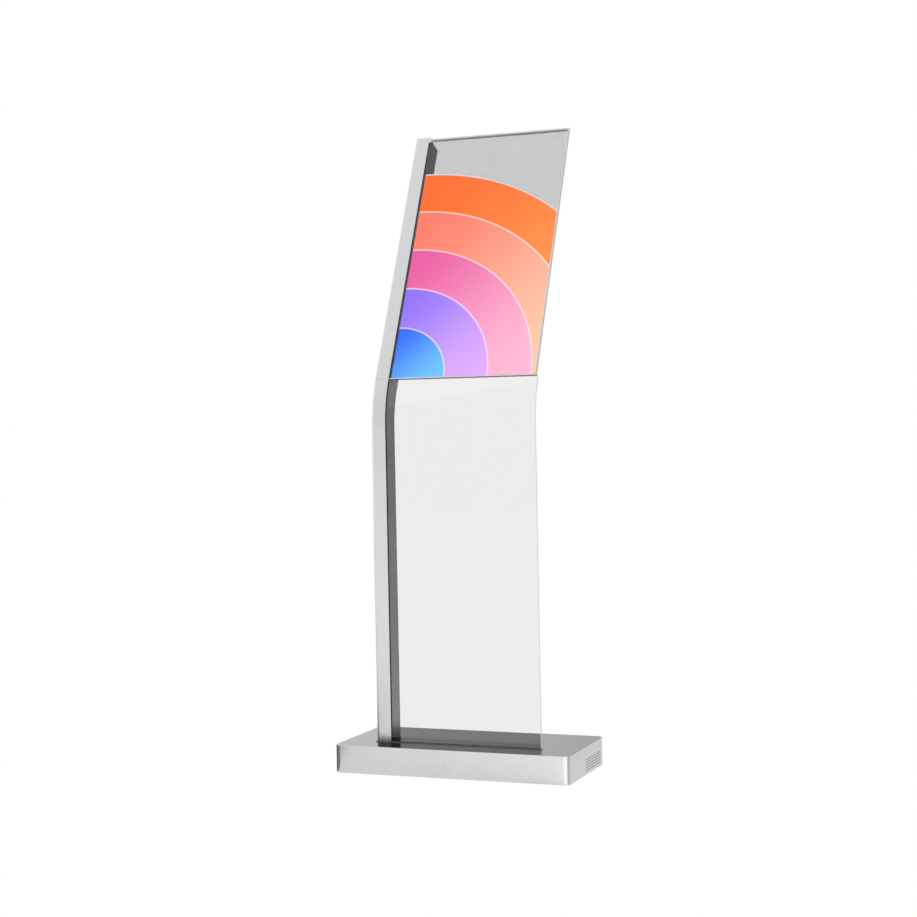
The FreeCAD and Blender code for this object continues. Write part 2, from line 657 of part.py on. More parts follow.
def make_post_foot():
    """The flange that bolts the post down, its spigot inside the post, and the bolts."""
    body = new_body("post_foot")
    middle_x = "(dims.post_left + dims.post_width / 2)"
    middle_y = "(dims.front_y + dims.post_depth / 2)"
    flange = sketch_on(body, "Flange", offset=PLATE_TOP)
    rectangle(
        flange, f"{middle_x} - dims.flange_width / 2", f"{middle_y} - dims.flange_depth / 2",
        f"{middle_x} + dims.flange_width / 2", f"{middle_y} + dims.flange_depth / 2",
    )
    pad(body, flange, "dims.flange_thick")
    fillet(body, 8, is_vertical, "FlangeCorners")
    spigot = sketch_on(body, "Spigot", offset=f"{PLATE_TOP} + dims.flange_thick")
    wall = "(dims.post_wall + 0.15)"
    rectangle(
        spigot, f"dims.post_left + {wall}", f"dims.front_y + {GROOVE_END} + {wall}",
        f"{POST_RIGHT} - {wall}", f"dims.front_y + dims.post_depth - {wall}",
    )
    pad(body, spigot, "dims.spigot_height", "SpigotPad")
    holes = sketch_on(body, "BoltHoles", offset=PLATE_TOP)
    for x, y in post_bolt_points():
        circle(holes, x, y, 4.2)
    pocket(body, holes, "dims.flange_thick", "BoltHolesCut", along_normal=True)
    seat = f"{PLATE_TOP} + dims.flange_thick"
    group([button_screw((x, y, seat), UPWARD, 4, 18) for x, y in post_bolt_points()], "post_foot_bolts")


def make_splice():
    """The bar that joins the two lengths of post, and the screws through the post's left wall."""
    wall = "(dims.post_wall + 0.3)"
    low = (f"dims.post_left + {wall}", "dims.splice_front", "-dims.splice_down")
    high = (f"{POST_RIGHT} - {wall}", "dims.splice_front + dims.splice_depth", "dims.splice_up")
    bar = box(low, high, LEANING, "SpliceBar")
    screws = []
    holes = []
    for height in (-14, 20, 48):
        point = ("dims.post_left", "dims.splice_front + dims.splice_depth / 2", height)
        screws.append(button_screw(point, TO_LEFT, 2.5, 12, LEANING))
        holes.append(cylinder(point, 2.5, 12.2, LEANING, *TO_RIGHT))
    keep(cut(bar, fuse(holes)), "post_splice")
    group(screws, "splice_screws")
    drill_post_for_splice(holes_at=(-14, 20, 48))


def drill_post_for_splice(holes_at):
    """Drill the left wall of each length of post where the splice's screws pass."""
    by_label = {piece.Label: piece for piece in nodes}
    upper = by_label["upper_post"]
    sketch = sketch_on(upper, "SpliceHoles", "YZ_Plane", "dims.post_left - 1")
    for height in holes_at[1:]:
        circle(sketch, "dims.splice_front + dims.splice_depth / 2", height, 2.55)
    pocket(upper, sketch, "dims.post_wall + 2", "SpliceHolesCut", along_normal=True)
    lower = by_label["lower_post"]
    sketch = sketch_on(lower, "SpliceHole", "YZ_Plane", "dims.post_left - 1")
    along, up = "(dims.splice_front + dims.splice_depth / 2)", f"({holes_at[0]})"
    circle(
        sketch, f"{SEAM_Y} + {along} * cos(dims.tilt) + {up} * sin(dims.tilt)",
        f"{SEAM_Z} - {along} * sin(dims.tilt) + {up} * cos(dims.tilt)", 2.55,
    )
    pocket(lower, sketch, "dims.post_wall + 2", "SpliceHoleCut", along_normal=True)


def make_rear_hatch():
    """The service cover on the back of the leaning post, and its four screws."""
    lap, back = "dims.hatch_lap", "dims.post_depth"
    left, right = f"dims.post_left + dims.hatch_side - {lap}", f"{POST_RIGHT} - dims.hatch_side + {lap}"
    low, high = f"dims.hatch_low - 4 * {lap}", f"dims.hatch_high + 4 * {lap}"
    plate = box((left, back, low), (right, f"{back} + dims.hatch_plate", high), LEANING, "HatchPlate")
    middle = "(dims.post_left + dims.post_width / 2)"
    screws = []
    holes = []
    for height in (f"dims.hatch_low - 2 * {lap}", f"dims.hatch_high + 2 * {lap}"):
        for offset in (-8, 8):
            point = (f"{middle} + {offset}", f"{back} + dims.hatch_plate", height)
            screws.append(button_screw(point, TO_BACK, 1.5, 1.5, LEANING))
            holes.append(cylinder(point, 1.55, "dims.hatch_plate", LEANING, *TO_FRONT))
    keep(cut(plate, fuse(holes)), "post_rear_cover")
    group(screws, "rear_cover_screws")


# Glass


def make_lower_glass():
    """The lower sheet: one rectangle swept up the flat run and round the bend."""
    body = new_body("lower_glass")
    section = sketch_on(body, "Section", offset="dims.glass_foot")
    rectangle(
        section, f"{GROOVE_X} + dims.liner", "dims.front_y + dims.glass_front",
        "dims.glass_right", f"dims.front_y + {GLASS_BACK}",
    )
    bent_sweep(body, section, bent_path(body, "Path", "dims.glass_foot", "(dims.tilt - dims.glass_stop)"))


def liner_outline(sketch, origin="0"):
    """Draw the U-shaped liner that wraps the edge of the glass in the groove."""
    mouth = f"{POST_RIGHT} - 0.2"
    front, back = "dims.glass_front", GLASS_BACK
    points = [
        (GROOVE_X, "dims.groove_lip"), (mouth, "dims.groove_lip"), (mouth, front),
        (f"{GROOVE_X} + dims.liner", front), (f"{GROOVE_X} + dims.liner", back), (mouth, back),
        (mouth, GROOVE_END), (GROOVE_X, GROOVE_END),
    ]
    polygon(sketch, [(x, f"({y}) + ({origin})") for x, y in points])


def make_glass_liners():
    """The rubber liners in the post's groove, one for each sheet."""
    lower = new_body("lower_glass_gasket")
    start = "dims.shoe_top + 1"
    section = sketch_on(lower, "Section", offset=start)
    liner_outline(section, "dims.front_y")
    bent_sweep(lower, section, bent_path(lower, "Path", start, "(dims.tilt - dims.glass_stop)"))
    upper = new_body("upper_glass_gasket", LEANING)
    section = sketch_on(upper, "Section", offset="dims.trim / 2")
    liner_outline(section)
    pad(upper, section, "dims.screen_length - dims.cap_thick - dims.trim / 2")
    slits = sketch_on(upper, "FlexSlits", "YZ_Plane", f"{GROOVE_X} + dims.liner + 1")
    for low in flex_heights():
        high = f"{low} + dims.flex_width + 1"
        rectangle(slits, "dims.glass_front + 2", f"{low} - 1", "dims.glass_front + 7", high)
    pocket(upper, slits, "dims.liner + 2", "FlexSlitCut")


def make_glass_shoe():
    """The aluminium channel bolted to the plate that clamps the foot of the sheet, and its rubber liner."""
    left = "dims.post_left + dims.post_width / 2 + dims.flange_width / 2 + 2"
    right = "dims.glass_right - 1"
    front, back = "dims.front_y + dims.glass_front", f"dims.front_y + {GLASS_BACK}"
    lining, wall = "dims.shoe_liner", "dims.shoe_wall"
    shoe = new_body("glass_shoe")
    section = sketch_on(shoe, "Section", "YZ_Plane", left)
    floor = f"{PLATE_TOP} + dims.shoe_floor"
    polygon(section, [
        (f"{front} - {lining} - {wall}", PLATE_TOP), (f"{back} + {lining} + {wall}", PLATE_TOP),
        (f"{back} + {lining} + {wall}", "dims.shoe_top"), (f"{back} + {lining}", "dims.shoe_top"),
        (f"{back} + {lining}", floor), (f"{front} - {lining}", floor),
        (f"{front} - {lining}", "dims.shoe_top"), (f"{front} - {lining} - {wall}", "dims.shoe_top"),
    ])
    pad(shoe, section, f"({right}) - ({left})")
    gasket = new_body("shoe_gasket")
    section = sketch_on(gasket, "Section", "YZ_Plane", left)
    polygon(section, [
        (f"{front} - {lining}", floor), (f"{back} + {lining}", floor),
        (f"{back} + {lining}", "dims.shoe_top"), (back, "dims.shoe_top"),
        (back, "dims.glass_foot"), (front, "dims.glass_foot"),
        (front, "dims.shoe_top"), (f"{front} - {lining}", "dims.shoe_top"),
    ])
    pad(gasket, section, f"({right}) - ({left})")


def make_base_seal():
    """The black seal that closes the opening in the base round the post and the glass."""
    lip = "dims.seal_lip"
    low, high = "dims.base_top - dims.cover_wall", "dims.base_top + dims.seal_rise"
    post_low = ("dims.post_left", "dims.front_y")
    post_high = (POST_RIGHT, "dims.front_y + dims.post_depth")
    glass_low = (GROOVE_X, "dims.front_y + dims.glass_front")
    glass_high = ("dims.glass_right", f"dims.front_y + {GLASS_BACK}")

    def prism(low_corner, high_corner, grow, bottom, top):
        """Return an upright block between two points in plan, grown outwards on every side."""
        start = tuple(f"{value} - {grow}" for value in low_corner)
        end = tuple(f"{value} + {grow}" for value in high_corner)
        return box((*start, bottom), (*end, top), name="SealBlock")

    outside = fuse([prism(post_low, post_high, lip, low, high), prism(glass_low, glass_high, lip, low, high)])
    inside = fuse([
        prism(post_low, post_high, 0, f"{low} - 1", f"{high} + 1"),
        prism(glass_low, glass_high, 0, f"{low} - 1", f"{high} + 1"),
    ])
    keep(cut(outside, inside), "base_seal")


# Display, in the leaning frame: Y goes in through the glass, Z goes up it


def layer(label, left, right, low, high, front, thick):
    """Pad one flat layer of the display's laminate."""
    body = new_body(label, LEANING)
    outline = sketch_on(body, "Outline", "XZ_Plane", f"-({front}) - ({thick})")
    rectangle(outline, left, low, right, high)
    pad(body, outline, thick)
    return body


def make_display():
    """The laminate: touch glass, see-through panel in a black border and clear bonding frame, rear glass."""
    left, right = f"{GROOVE_X} + dims.liner", "dims.screen_right - dims.trim"
    low, high = "dims.trim / 2", "dims.screen_length - dims.cap_thick"
    panel_front = "dims.glass_front + dims.cover_glass"
    panel_back = f"{panel_front} + dims.panel_thick"
    panel_low, panel_high = "dims.panel_margin", "dims.screen_length - dims.panel_margin"
    layer("touch_glass", left, right, low, high, "dims.glass_front", "dims.cover_glass")
    picture = f"({POST_RIGHT} + dims.border)"
    layer("panel_border", left, picture, low, high, panel_front, "dims.panel_thick")
    end, thick = "dims.panel_right", "dims.panel_thick"
    layer("display_panel", picture, end, panel_low, panel_high, panel_front, thick)
    layer("rear_glass", left, right, low, high, panel_back, "dims.cover_glass")
    frame = layer("panel_spacer", picture, right, low, high, panel_front, "dims.panel_thick")
    inside = sketch_on(frame, "Inside", "XZ_Plane", f"-({panel_back}) - 1")
    rectangle(inside, f"{picture} - 1", panel_low, "dims.panel_right", panel_high)
    pocket(frame, inside, "dims.panel_thick + 2", "PanelOpening", along_normal=True)


def make_trims():
    """The thin metal channels on the display's right and top edges, and the strip between the two sheets."""
    front, back = "dims.glass_front", GLASS_BACK
    lap, leg, wall = "dims.trim_lap", "dims.trim_leg", "dims.trim"
    post = f"{POST_RIGHT} + 0.2"
    edge, top = "dims.screen_right", "dims.screen_length"
    right = new_body("screen_trim_right", LEANING)
    section = sketch_on(right, "Section", offset="dims.trim / 2")
    polygon(section, [
        (f"{edge} - {leg}", f"{front} - {lap}"), (edge, f"{front} - {lap}"), (edge, f"{back} + {lap}"),
        (f"{edge} - {leg}", f"{back} + {lap}"), (f"{edge} - {leg}", back), (f"{edge} - {wall}", back),
        (f"{edge} - {wall}", front), (f"{edge} - {leg}", front),
    ])
    pad(right, section, "dims.screen_length - dims.cap_thick - dims.trim - dims.trim / 2")
    upper = new_body("screen_trim_top", LEANING)
    web = f"{top} - dims.cap_thick"
    low = f"{web} - {wall}"
    start = f"{POST_RIGHT} + dims.ear_width + 0.2"
    section = sketch_on(upper, "Section", "YZ_Plane", start)
    polygon(section, [
        (f"{front} - {lap}", low), (f"{front} - {lap}", top), (f"{back} + {lap}", top),
        (f"{back} + {lap}", low), (back, low), (back, web), (front, web), (front, low),
    ])
    pad(upper, section, f"dims.screen_right - ({start})")
    strip = new_body("seam_strip", LEANING)
    section = sketch_on(strip, "Section", "YZ_Plane", post)
    web, lip = "dims.trim / 2", "dims.strip_lip"
    polygon(section, [
        (f"{front} - {lap}", f"-{web}"), (f"{front} - {lap}", lip), (front, lip), (front, web),
        (back, web), (back, lip), (f"{back} + {lap}", lip), (f"{back} + {lap}", f"-{web}"),
    ])
    pad(strip, section, f"dims.screen_right - dims.trim_leg - ({post})")


def make_flex():
    """The ribbons from the panel's left edge, through the groove's floor, to the driver board."""
    ribbons = []
    inner, outer = f"{GROOVE_X} + dims.liner - 0.1", f"{GROOVE_X} - 9"
    front, thick = "dims.glass_front + 4", "dims.flex_thick"
    for low in flex_heights():
        high = f"{low} + dims.flex_width"
        across = box((outer, front, low), (inner, f"{front} + {thick}", high), LEANING, "RibbonAcross")
        down = box((outer, front, low), (f"{outer} + {thick}", 38, high), LEANING, "RibbonDown")
        ribbons.append(fuse([across, down]))
    group(ribbons, "display_flex")


def make_post_boards():
    """The display's driver board and the touch controller, both in the leaning post."""
    left, right = "dims.post_left + 5", f"{POST_RIGHT} - 5"
    board = box((left, 38, 140), (right, 39.6, 360), LEANING, "DriverBoard")
    chips = [
        box((f"{left} + 6", 39.6, low), (f"{left} + 20", 41.6, low + 14), LEANING, "Chip")
        for low in (170, 250, 320)
    ]
    keep(fuse([board, *chips]), "driver_board")
    controller = box((left, 38, 372), (right, 39.2, 430), LEANING, "TouchBoard")
    chip = box((f"{left} + 8", 39.2, 390), (f"{left} + 18", 40.8, 400), LEANING, "TouchChip")
    keep(fuse([controller, chip]), "touch_controller")
    rails = [
        box((x, 39.6, low), (f"{x} + 3", f"dims.post_depth - dims.post_wall", low + 6), LEANING, "Rail")
        for x in (left, f"{right} - 3")
        for low in (146, 348)
    ]
    rails += [
        box((x, 39.2, 420), (f"{x} + 3", f"dims.post_depth - dims.post_wall", 426), LEANING, "Rail")
        for x in (left, f"{right} - 3")
    ]
    group(rails, "board_rails")


# Electronics in the base


def panel_screw_points():
    """Return where the rear panel's screws pass, near its four corners."""
    return [
        (x, z)
        for x in ("dims.panel_left + 3", "dims.panel_end - 3")
        for z in ("dims.panel_low + 8", "dims.panel_high - 8")
    ]


def make_io_panel():
    """The plate behind the rear opening, with its inlet, switch and sockets."""
    back = "dims.base_depth / 2 - dims.cover_wall"
    body = new_body("io_panel")
    outline = sketch_on(body, "Outline", "XZ_Plane", f"-({back})")
    rectangle(outline, "dims.panel_left", "dims.panel_low", "dims.panel_end", "dims.panel_high")
    pad(body, outline, "dims.panel_plate")
    openings = sketch_on(body, "Openings", "XZ_Plane", f"-({back}) - 1")
    for x, width, height in (
        ("dims.inlet_x", "dims.inlet_width", "dims.inlet_height"),
        ("dims.switch_x", "dims.switch_width", "dims.switch_height"),
        ("dims.jack_x", 16, 14),
        ("dims.usb_x", 15, 16),
    ):
        rectangle(
            openings, f"{x} - {width} / 2", f"dims.socket_z - {height} / 2",
            f"{x} + {width} / 2", f"dims.socket_z + {height} / 2",
        )
    for x, z in panel_screw_points():
        circle(openings, x, z, 1.25)
    pocket(body, openings, "dims.panel_plate + 2", "OpeningsCut", along_normal=True)
    outside = "dims.base_depth / 2"
    group(
        [button_screw((x, outside, z), TO_BACK, 1.2, 3.5) for x, z in panel_screw_points()], "io_panel_screws"
    )


def make_sockets():
    """Power inlet, network jack and twin USB socket, each a shell with its mouth open to the rear."""
    back = "dims.base_depth / 2 - dims.cover_wall"
    z = "dims.socket_z"
    inlet_front = f"{back} - dims.inlet_depth"
    shell = box(
        ("dims.inlet_x - dims.inlet_width / 2", inlet_front, f"{z} - dims.inlet_height / 2"),
        ("dims.inlet_x + dims.inlet_width / 2", f"{back} + 0.5", f"{z} + dims.inlet_height / 2"),
    )
    flange = box(
        ("dims.inlet_x - dims.inlet_width / 2 - 9", back, f"{z} - dims.inlet_height / 2 - 1.5"),
        ("dims.inlet_x + dims.inlet_width / 2 + 9", f"{back} + 2.5", f"{z} + dims.inlet_height / 2 + 1.5"),
    )
    mouth = box(
        ("dims.inlet_x - 12", f"{back} - 17", f"{z} - 8"), ("dims.inlet_x + 12", f"{back} + 3", f"{z} + 8")
    )
    pins = [
        box((f"dims.inlet_x + {x} - 1", f"{back} - 17.5", f"{z} + {dz} - 2"),
            (f"dims.inlet_x + {x} + 1", f"{back} - 2", f"{z} + {dz} + 2"))
        for x, dz in ((-7, -1.5), (0, 1.5), (7, -1.5))
    ]
    keep(fuse([cut(fuse([shell, flange]), mouth), *pins]), "power_inlet")
    for label, x, width, height, mouths in (
        ("network_jack", "dims.jack_x", 16, 14, ((-6, -5, 6, 4),)),
        ("usb_ports", "dims.usb_x", 15, 16, ((-6.2, -6.4, 6.2, -1.2), (-6.2, 1.2, 6.2, 6.4))),
    ):
        outer = box(
            (f"{x} - {width} / 2", f"{back} - 20", f"{z} - {height} / 2"),
            (f"{x} + {width} / 2", f"{back} + 1", f"{z} + {height} / 2"),
        )
        holes = [
            box((f"{x} + {x0}", f"{back} - 14", f"{z} + {z0}"), (f"{x} + {x1}", f"{back} + 2", f"{z} + {z1}"))
            for x0, z0, x1, z1 in mouths
        ]
        tools = holes[0] if len(holes) == 1 else fuse(holes)
        keep(cut(outer, tools), label)


def make_power_switch():
    """The rocker switch: a frame in the panel and a rocker that tips about a pin across it."""
    back = "dims.base_depth / 2 - dims.cover_wall"
    z = "dims.socket_z"
    x0, x1 = "dims.switch_x - dims.switch_width / 2", "dims.switch_x + dims.switch_width / 2"
    case = box(
        (x0, f"{back} - dims.switch_depth", f"{z} - dims.switch_height / 2"),
        (x1, f"{back} + 0.5", f"{z} + dims.switch_height / 2"),
    )
    flange = box(
        (f"{x0} - 1", back, f"{z} - dims.switch_height / 2 - 1.5"),
        (f"{x1} + 1", f"{back} + 1.8", f"{z} + dims.switch_height / 2 + 1.5"),
    )
    well = box(
        (f"{x0} + 1.2", f"{back} - 8", f"{z} - dims.switch_height / 2 + 1.2"),
        (f"{x1} - 1.2", f"{back} + 3", f"{z} + dims.switch_height / 2 - 1.2"),
    )
    keep(cut(fuse([case, flange]), well), "switch_frame")
    pivot = at(UPRIGHT, "dims.switch_x", f"{back} - 1", z, "vector(1; 0; 0)", "dims.rocker_rest")
    rocker = new_body("power_rocker", pivot)
    side = sketch_on(rocker, "Side", "YZ_Plane", "-(dims.switch_width / 2 - 1.6)")
    reach = "(dims.switch_height / 2 - 2)"
    polygon(side, [
        (-3.5, f"-{reach} + 3"), (2.2, f"-{reach}"), (3.4, f"-{reach}"), (2.2, 0), (3.4, reach),
        (2.2, reach), (-3.5, f"{reach} - 3"),
    ])
    pad(rocker, side, "dims.switch_width - 3.2")


def make_supply():
    """The power supply's metal case with its terminal strip."""
    x, y = "dims.supply_x", "dims.supply_y"
    corner = (f"{x} + dims.supply_length", f"{y} + dims.supply_width", f"{PLATE_TOP} + dims.supply_height")
    case = box((x, y, PLATE_TOP), corner)
    shelf = box(
        (f"{x} - 1", f"{y} + 3", f"{PLATE_TOP} + 12"),
        (f"{x} + 14", f"{y} + dims.supply_width - 3", f"{PLATE_TOP} + dims.supply_height + 1"),
    )
    keep(cut(case, shelf), "power_supply")


def make_board():
    """The main board on its standoffs, with its finned heat sink."""
    x, y = "dims.board_x", "dims.board_y"
    low = f"{PLATE_TOP} + dims.standoff"
    high = f"{low} + dims.board_thick"
    board = box((x, y, low), (f"{x} + dims.board_length", f"{y} + dims.board_width", high), name="Board")
    parts = [
        box((f"{x} + {x0}", f"{y} + {y0}", high), (f"{x} + {x1}", f"{y} + {y1}", f"{high} + {tall}"))
        for x0, y0, x1, y1, tall in ((100, 15, 140, 85, 4), (12, 14, 26, 40, 9), (150, 40, 162, 70, 9))
    ]
    keep(fuse([board, *parts]), "mainboard")
    group(
        [
            cylinder((f"{x} + {dx}", f"{y} + {dy}", PLATE_TOP), 3, "dims.standoff")
            for dx in (6, 164)
            for dy in (6, 114)
        ],
        "board_standoffs",
    )
    sink = new_body("heatsink", at(UPRIGHT, f"{x} + 34", f"{y} + 30", high))
    sole = sketch_on(sink, "Sole")
    rectangle(sole, 0, 0, "dims.sink_size", "dims.sink_size")
    pad(sink, sole, 4)
    fin = sketch_on(sink, "Fin", offset=4)
    rectangle(fin, 0, 0, 2, "dims.sink_size")
    raised = pad(sink, fin, "dims.sink_height - 4", "FinPad")
    fins = sink.newObject("PartDesign::LinearPattern", "Fins")
    fins.Originals = [raised]
    fins.Direction = (fin, ["H_Axis"])
    fins.setExpression("Length", "dims.sink_size - 2")
    fins.Occurrences = 10
    sink.Tip = fins
    doc.recompute()


def make_fan_frame():
    """The fan's square frame, with its motor boss held on four arms."""
    half, reach = "dims.fan_size / 2", "dims.fan_screw_reach"
    frame = new_body("fan_frame", FAN)
    outline = sketch_on(frame, "Outline", "YZ_Plane")
    rectangle(outline, f"-{half}", f"-{half}", half, half)
    circle(outline, 0, 0, "dims.fan_bore")
    for y, z in spread(reach, reach):
        circle(outline, y, z, 1.55)
    pad(frame, outline, "dims.fan_thick")
    motor = sketch_on(frame, "Motor", "YZ_Plane")
    circle(motor, 0, 0, "dims.fan_hub - 1")
    circle(motor, 0, 0, "dims.fan_shaft + 0.06")
    pad(frame, motor, 3, "MotorPad")
    arm = sketch_on(frame, "Arm", "YZ_Plane")
    rectangle(arm, -1.5, "dims.fan_hub - 2", 1.5, "dims.fan_bore + 0.8")
    strut = pad(frame, arm, 2, "ArmPad")
    arms = frame.newObject("PartDesign::PolarPattern", "Arms")
    arms.Originals = [strut]
    arms.Axis = (motor, ["N_Axis"])
    arms.Angle = 360
    arms.Occurrences = 4
    frame.Tip = arms
    doc.recompute()


def make_fan_rotor():
    """The rotor: a hub on a short shaft, with seven pitched blades."""
    rotor = new_body("fan_rotor", FAN)
    shaft = sketch_on(rotor, "Shaft", "YZ_Plane", 0.8)
    circle(shaft, 0, 0, "dims.fan_shaft")
    pad(rotor, shaft, 3, "ShaftPad")
    hub = sketch_on(rotor, "Hub", "YZ_Plane", 3.6)
    circle(hub, 0, 0, "dims.fan_hub")
    pad(rotor, hub, "dims.fan_thick - 5")
    foot = sketch_on(rotor, "BladeFoot", "YZ_Plane", 4.4)
    polygon(foot, [(-5, 8.5), (-3.4, 8), (-1.5, "dims.fan_tip - 1"), (-5.5, "dims.fan_tip - 2")])
    tip = sketch_on(rotor, "BladeTip", "YZ_Plane", "dims.fan_thick - 2.6")
    polygon(tip, [(3.4, 8), (5, 8.5), (8.4, "dims.fan_tip - 3.5"), (4.6, "dims.fan_tip - 1.5")])
    blade = rotor.newObject("PartDesign::AdditiveLoft", "Blade")
    blade.Profile = foot
    blade.Sections = [tip]
    rotor.Tip = blade
    doc.recompute()
    blades = rotor.newObject("PartDesign::PolarPattern", "Blades")
    blades.Originals = [blade]
    blades.Axis = (hub, ["N_Axis"])
    blades.Angle = 360
    blades.Occurrences = 7
    rotor.Tip = blades
    doc.recompute()


def make_fan_bracket():
    """The bent sheet that holds the fan off the plate, and the fan's four screws."""
    half, sheet_ = "dims.fan_size / 2", "dims.bracket_sheet"
    reach = "dims.fan_screw_reach"
    bracket = new_body("fan_bracket", FAN)
    face = sketch_on(bracket, "Face", "YZ_Plane", f"-{sheet_}")
    rectangle(face, f"-{half} - 2", f"{PLATE_TOP} - dims.fan_z", f"{half} + 2", half)
    circle(face, 0, 0, "dims.fan_bore")
    for y, z in spread(reach, reach):
        circle(face, y, z, 1.55)
    pad(bracket, face, sheet_)
    sole = sketch_on(bracket, "Sole", offset=f"{PLATE_TOP} - dims.fan_z")
    rectangle(sole, "-20", f"-{half} - 2", f"-{sheet_} / 2", f"{half} + 2")
    pad(bracket, sole, sheet_, "SolePad")
    screws = [button_screw((f"-{sheet_}", y, z), TO_LEFT, 1.5, 12, FAN) for y, z in spread(reach, reach)]
    group(screws, "fan_screws")


def make_leads():
    """The internal wiring: mains lead, board lead, and the display's lead up inside the post."""
    radius = size("dims.lead_radius")
    back = "dims.base_depth / 2 - dims.cover_wall"
    z = "dims.socket_z"
    tube(
        "mains_lead",
        [
            ("dims.inlet_x", f"{back} - dims.inlet_depth", z), ("dims.inlet_x", "108", z),
            ("52", "106", f"{z} - 6"), ("46", "60", f"{PLATE_TOP} + 18"),
            ("dims.supply_x + 13", "55", f"{PLATE_TOP} + 18"),
        ],
        [7, 16, 9], radius * 0.8,
    )
    top = f"{PLATE_TOP} + dims.standoff + dims.board_thick"
    tube(
        "board_lead",
        [
            ("dims.supply_x + 13", "25", f"{PLATE_TOP} + 18"), ("50", "25", f"{PLATE_TOP} + 20"),
            ("44", "67", f"{top} + 4.5"), ("dims.board_x + 162", "67", f"{top} + 4.5"),
        ],
        [5, 2.5], radius * 0.6,
    )
    # Up the post, the lead runs in the back half of the hollow, clear of the splice bar.
    lane = 50
    lane_y = f"dims.front_y + {lane}"
    knee = "dims.bend_start + dims.bend_radius * tan(dims.tilt / 2)"
    shift = f"({lane}) * tan(dims.tilt / 2)"
    post_x = "dims.post_left + dims.post_width / 2"
    rise = "118"
    tube(
        "display_lead",
        [
            ("dims.board_x + 12", "dims.board_y + 27", f"{top} + 5"),
            ("-142", "dims.board_y + 27", f"{top} + 5"),
            ("-154", lane_y, "(dims.window_low + dims.window_high) / 2"),
            (post_x, lane_y, "(dims.window_low + dims.window_high) / 2"),
            (post_x, lane_y, f"{knee} - {shift}"),
            (
                post_x, f"{SEAM_Y} + {lane} * cos(dims.tilt) + {rise} * sin(dims.tilt)",
                f"{SEAM_Z} - {lane} * sin(dims.tilt) + {rise} * cos(dims.tilt)",
            ),
        ],
        [12, 12, 12, size("dims.bend_radius") - lane], radius,
    )


def check_document():
    """Stop before writing if any feature failed or any piece isn't a valid shape."""
    doc.recompute()
    for item in doc.Objects:
        if "Invalid" in item.State or "Error" in item.State:
            raise RuntimeError(f"{item.Label} failed: {item.State}")
    for piece in nodes:
        if piece.Shape.isNull() or not piece.Shape.isValid() or piece.Shape.Volume <= 0:
            raise RuntimeError(f"{piece.Label} is not a valid shape")


def write_pieces():
    """Write each piece to its own file."""
    os.makedirs("parts", exist_ok=True)
    for piece in nodes:
        piece.Shape.exportStep(os.path.join("parts", f"{piece.Label}.step"))
    print(f"{len(nodes)} pieces written")


make_base_cover()
make_base_plate()
make_feet()
make_cover_fixings()
make_lower_post()
make_upper_post()
make_post_cap()
make_post_foot()
make_splice()
make_rear_hatch()
make_lower_glass()
make_glass_liners()
make_glass_shoe()
make_base_seal()
make_display()
make_trims()
make_flex()
make_post_boards()
make_io_panel()
make_sockets()
make_power_switch()
make_supply()
make_board()
make_fan_frame()
make_fan_rotor()
make_fan_bracket()
make_leads()
check_document()
write_pieces()
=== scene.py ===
"""The looks of a floor-standing kiosk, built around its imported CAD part.

Metres, in the part's own frame: +X to the right of a person who faces the display, +Y away from that
person, +Z up, with the origin at floor level in the middle of the base.
"""
import json
import math

import bmesh
import bpy
from mathutils import Matrix, Vector


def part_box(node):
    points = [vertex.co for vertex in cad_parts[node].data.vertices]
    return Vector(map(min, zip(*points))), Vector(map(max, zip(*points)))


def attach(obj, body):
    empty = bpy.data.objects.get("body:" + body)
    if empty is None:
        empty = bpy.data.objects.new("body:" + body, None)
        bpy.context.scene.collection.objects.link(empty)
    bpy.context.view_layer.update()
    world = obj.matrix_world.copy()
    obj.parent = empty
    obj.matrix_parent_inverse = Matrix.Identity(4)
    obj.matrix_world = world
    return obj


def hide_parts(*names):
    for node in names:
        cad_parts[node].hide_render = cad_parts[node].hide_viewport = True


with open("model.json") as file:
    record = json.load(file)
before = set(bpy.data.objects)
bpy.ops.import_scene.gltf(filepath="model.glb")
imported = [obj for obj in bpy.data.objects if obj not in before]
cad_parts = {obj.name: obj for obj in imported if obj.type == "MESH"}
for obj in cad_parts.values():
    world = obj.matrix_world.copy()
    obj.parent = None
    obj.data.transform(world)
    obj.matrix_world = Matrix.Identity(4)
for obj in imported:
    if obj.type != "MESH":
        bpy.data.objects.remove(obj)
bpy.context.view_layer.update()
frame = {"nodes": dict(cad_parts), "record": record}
NODES = frame["nodes"]

# ---------------------------------------------------------------- camera

CAMERA_PLACE = (1.6059, -4.1688, 0.8627)
CAMERA_YAW = 21.253
CAMERA_DOWN = 1.003
CAMERA_ROLL = -1.096
CAMERA_LENS = 69.47
SENSOR_WIDTH = 36.0


def make_camera():
    """The camera stands to the right of the display's middle and looks back to the left."""
    yaw, down, roll = (math.radians(a) for a in (CAMERA_YAW, CAMERA_DOWN, CAMERA_ROLL))
    forward = Vector((-math.sin(yaw) * math.cos(down), math.cos(yaw) * math.cos(down), -math.sin(down)))
    level = Vector((math.cos(yaw), math.sin(yaw), 0))
    upright = level.cross(forward)
    right = math.cos(roll) * level + math.sin(roll) * upright
    up = math.cos(roll) * upright - math.sin(roll) * level
    data = bpy.data.cameras.new("camera")
    data.lens = CAMERA_LENS
    data.sensor_width = SENSOR_WIDTH
    data.clip_end = 100
    camera = bpy.data.objects.new("camera", data)
    turn = Matrix((right, up, -forward)).transposed()
    camera.matrix_world = Matrix.Translation(CAMERA_PLACE) @ turn.to_4x4()
    bpy.context.scene.collection.objects.link(camera)
    bpy.context.scene.camera = camera


# ---------------------------------------------------------------- node helpers


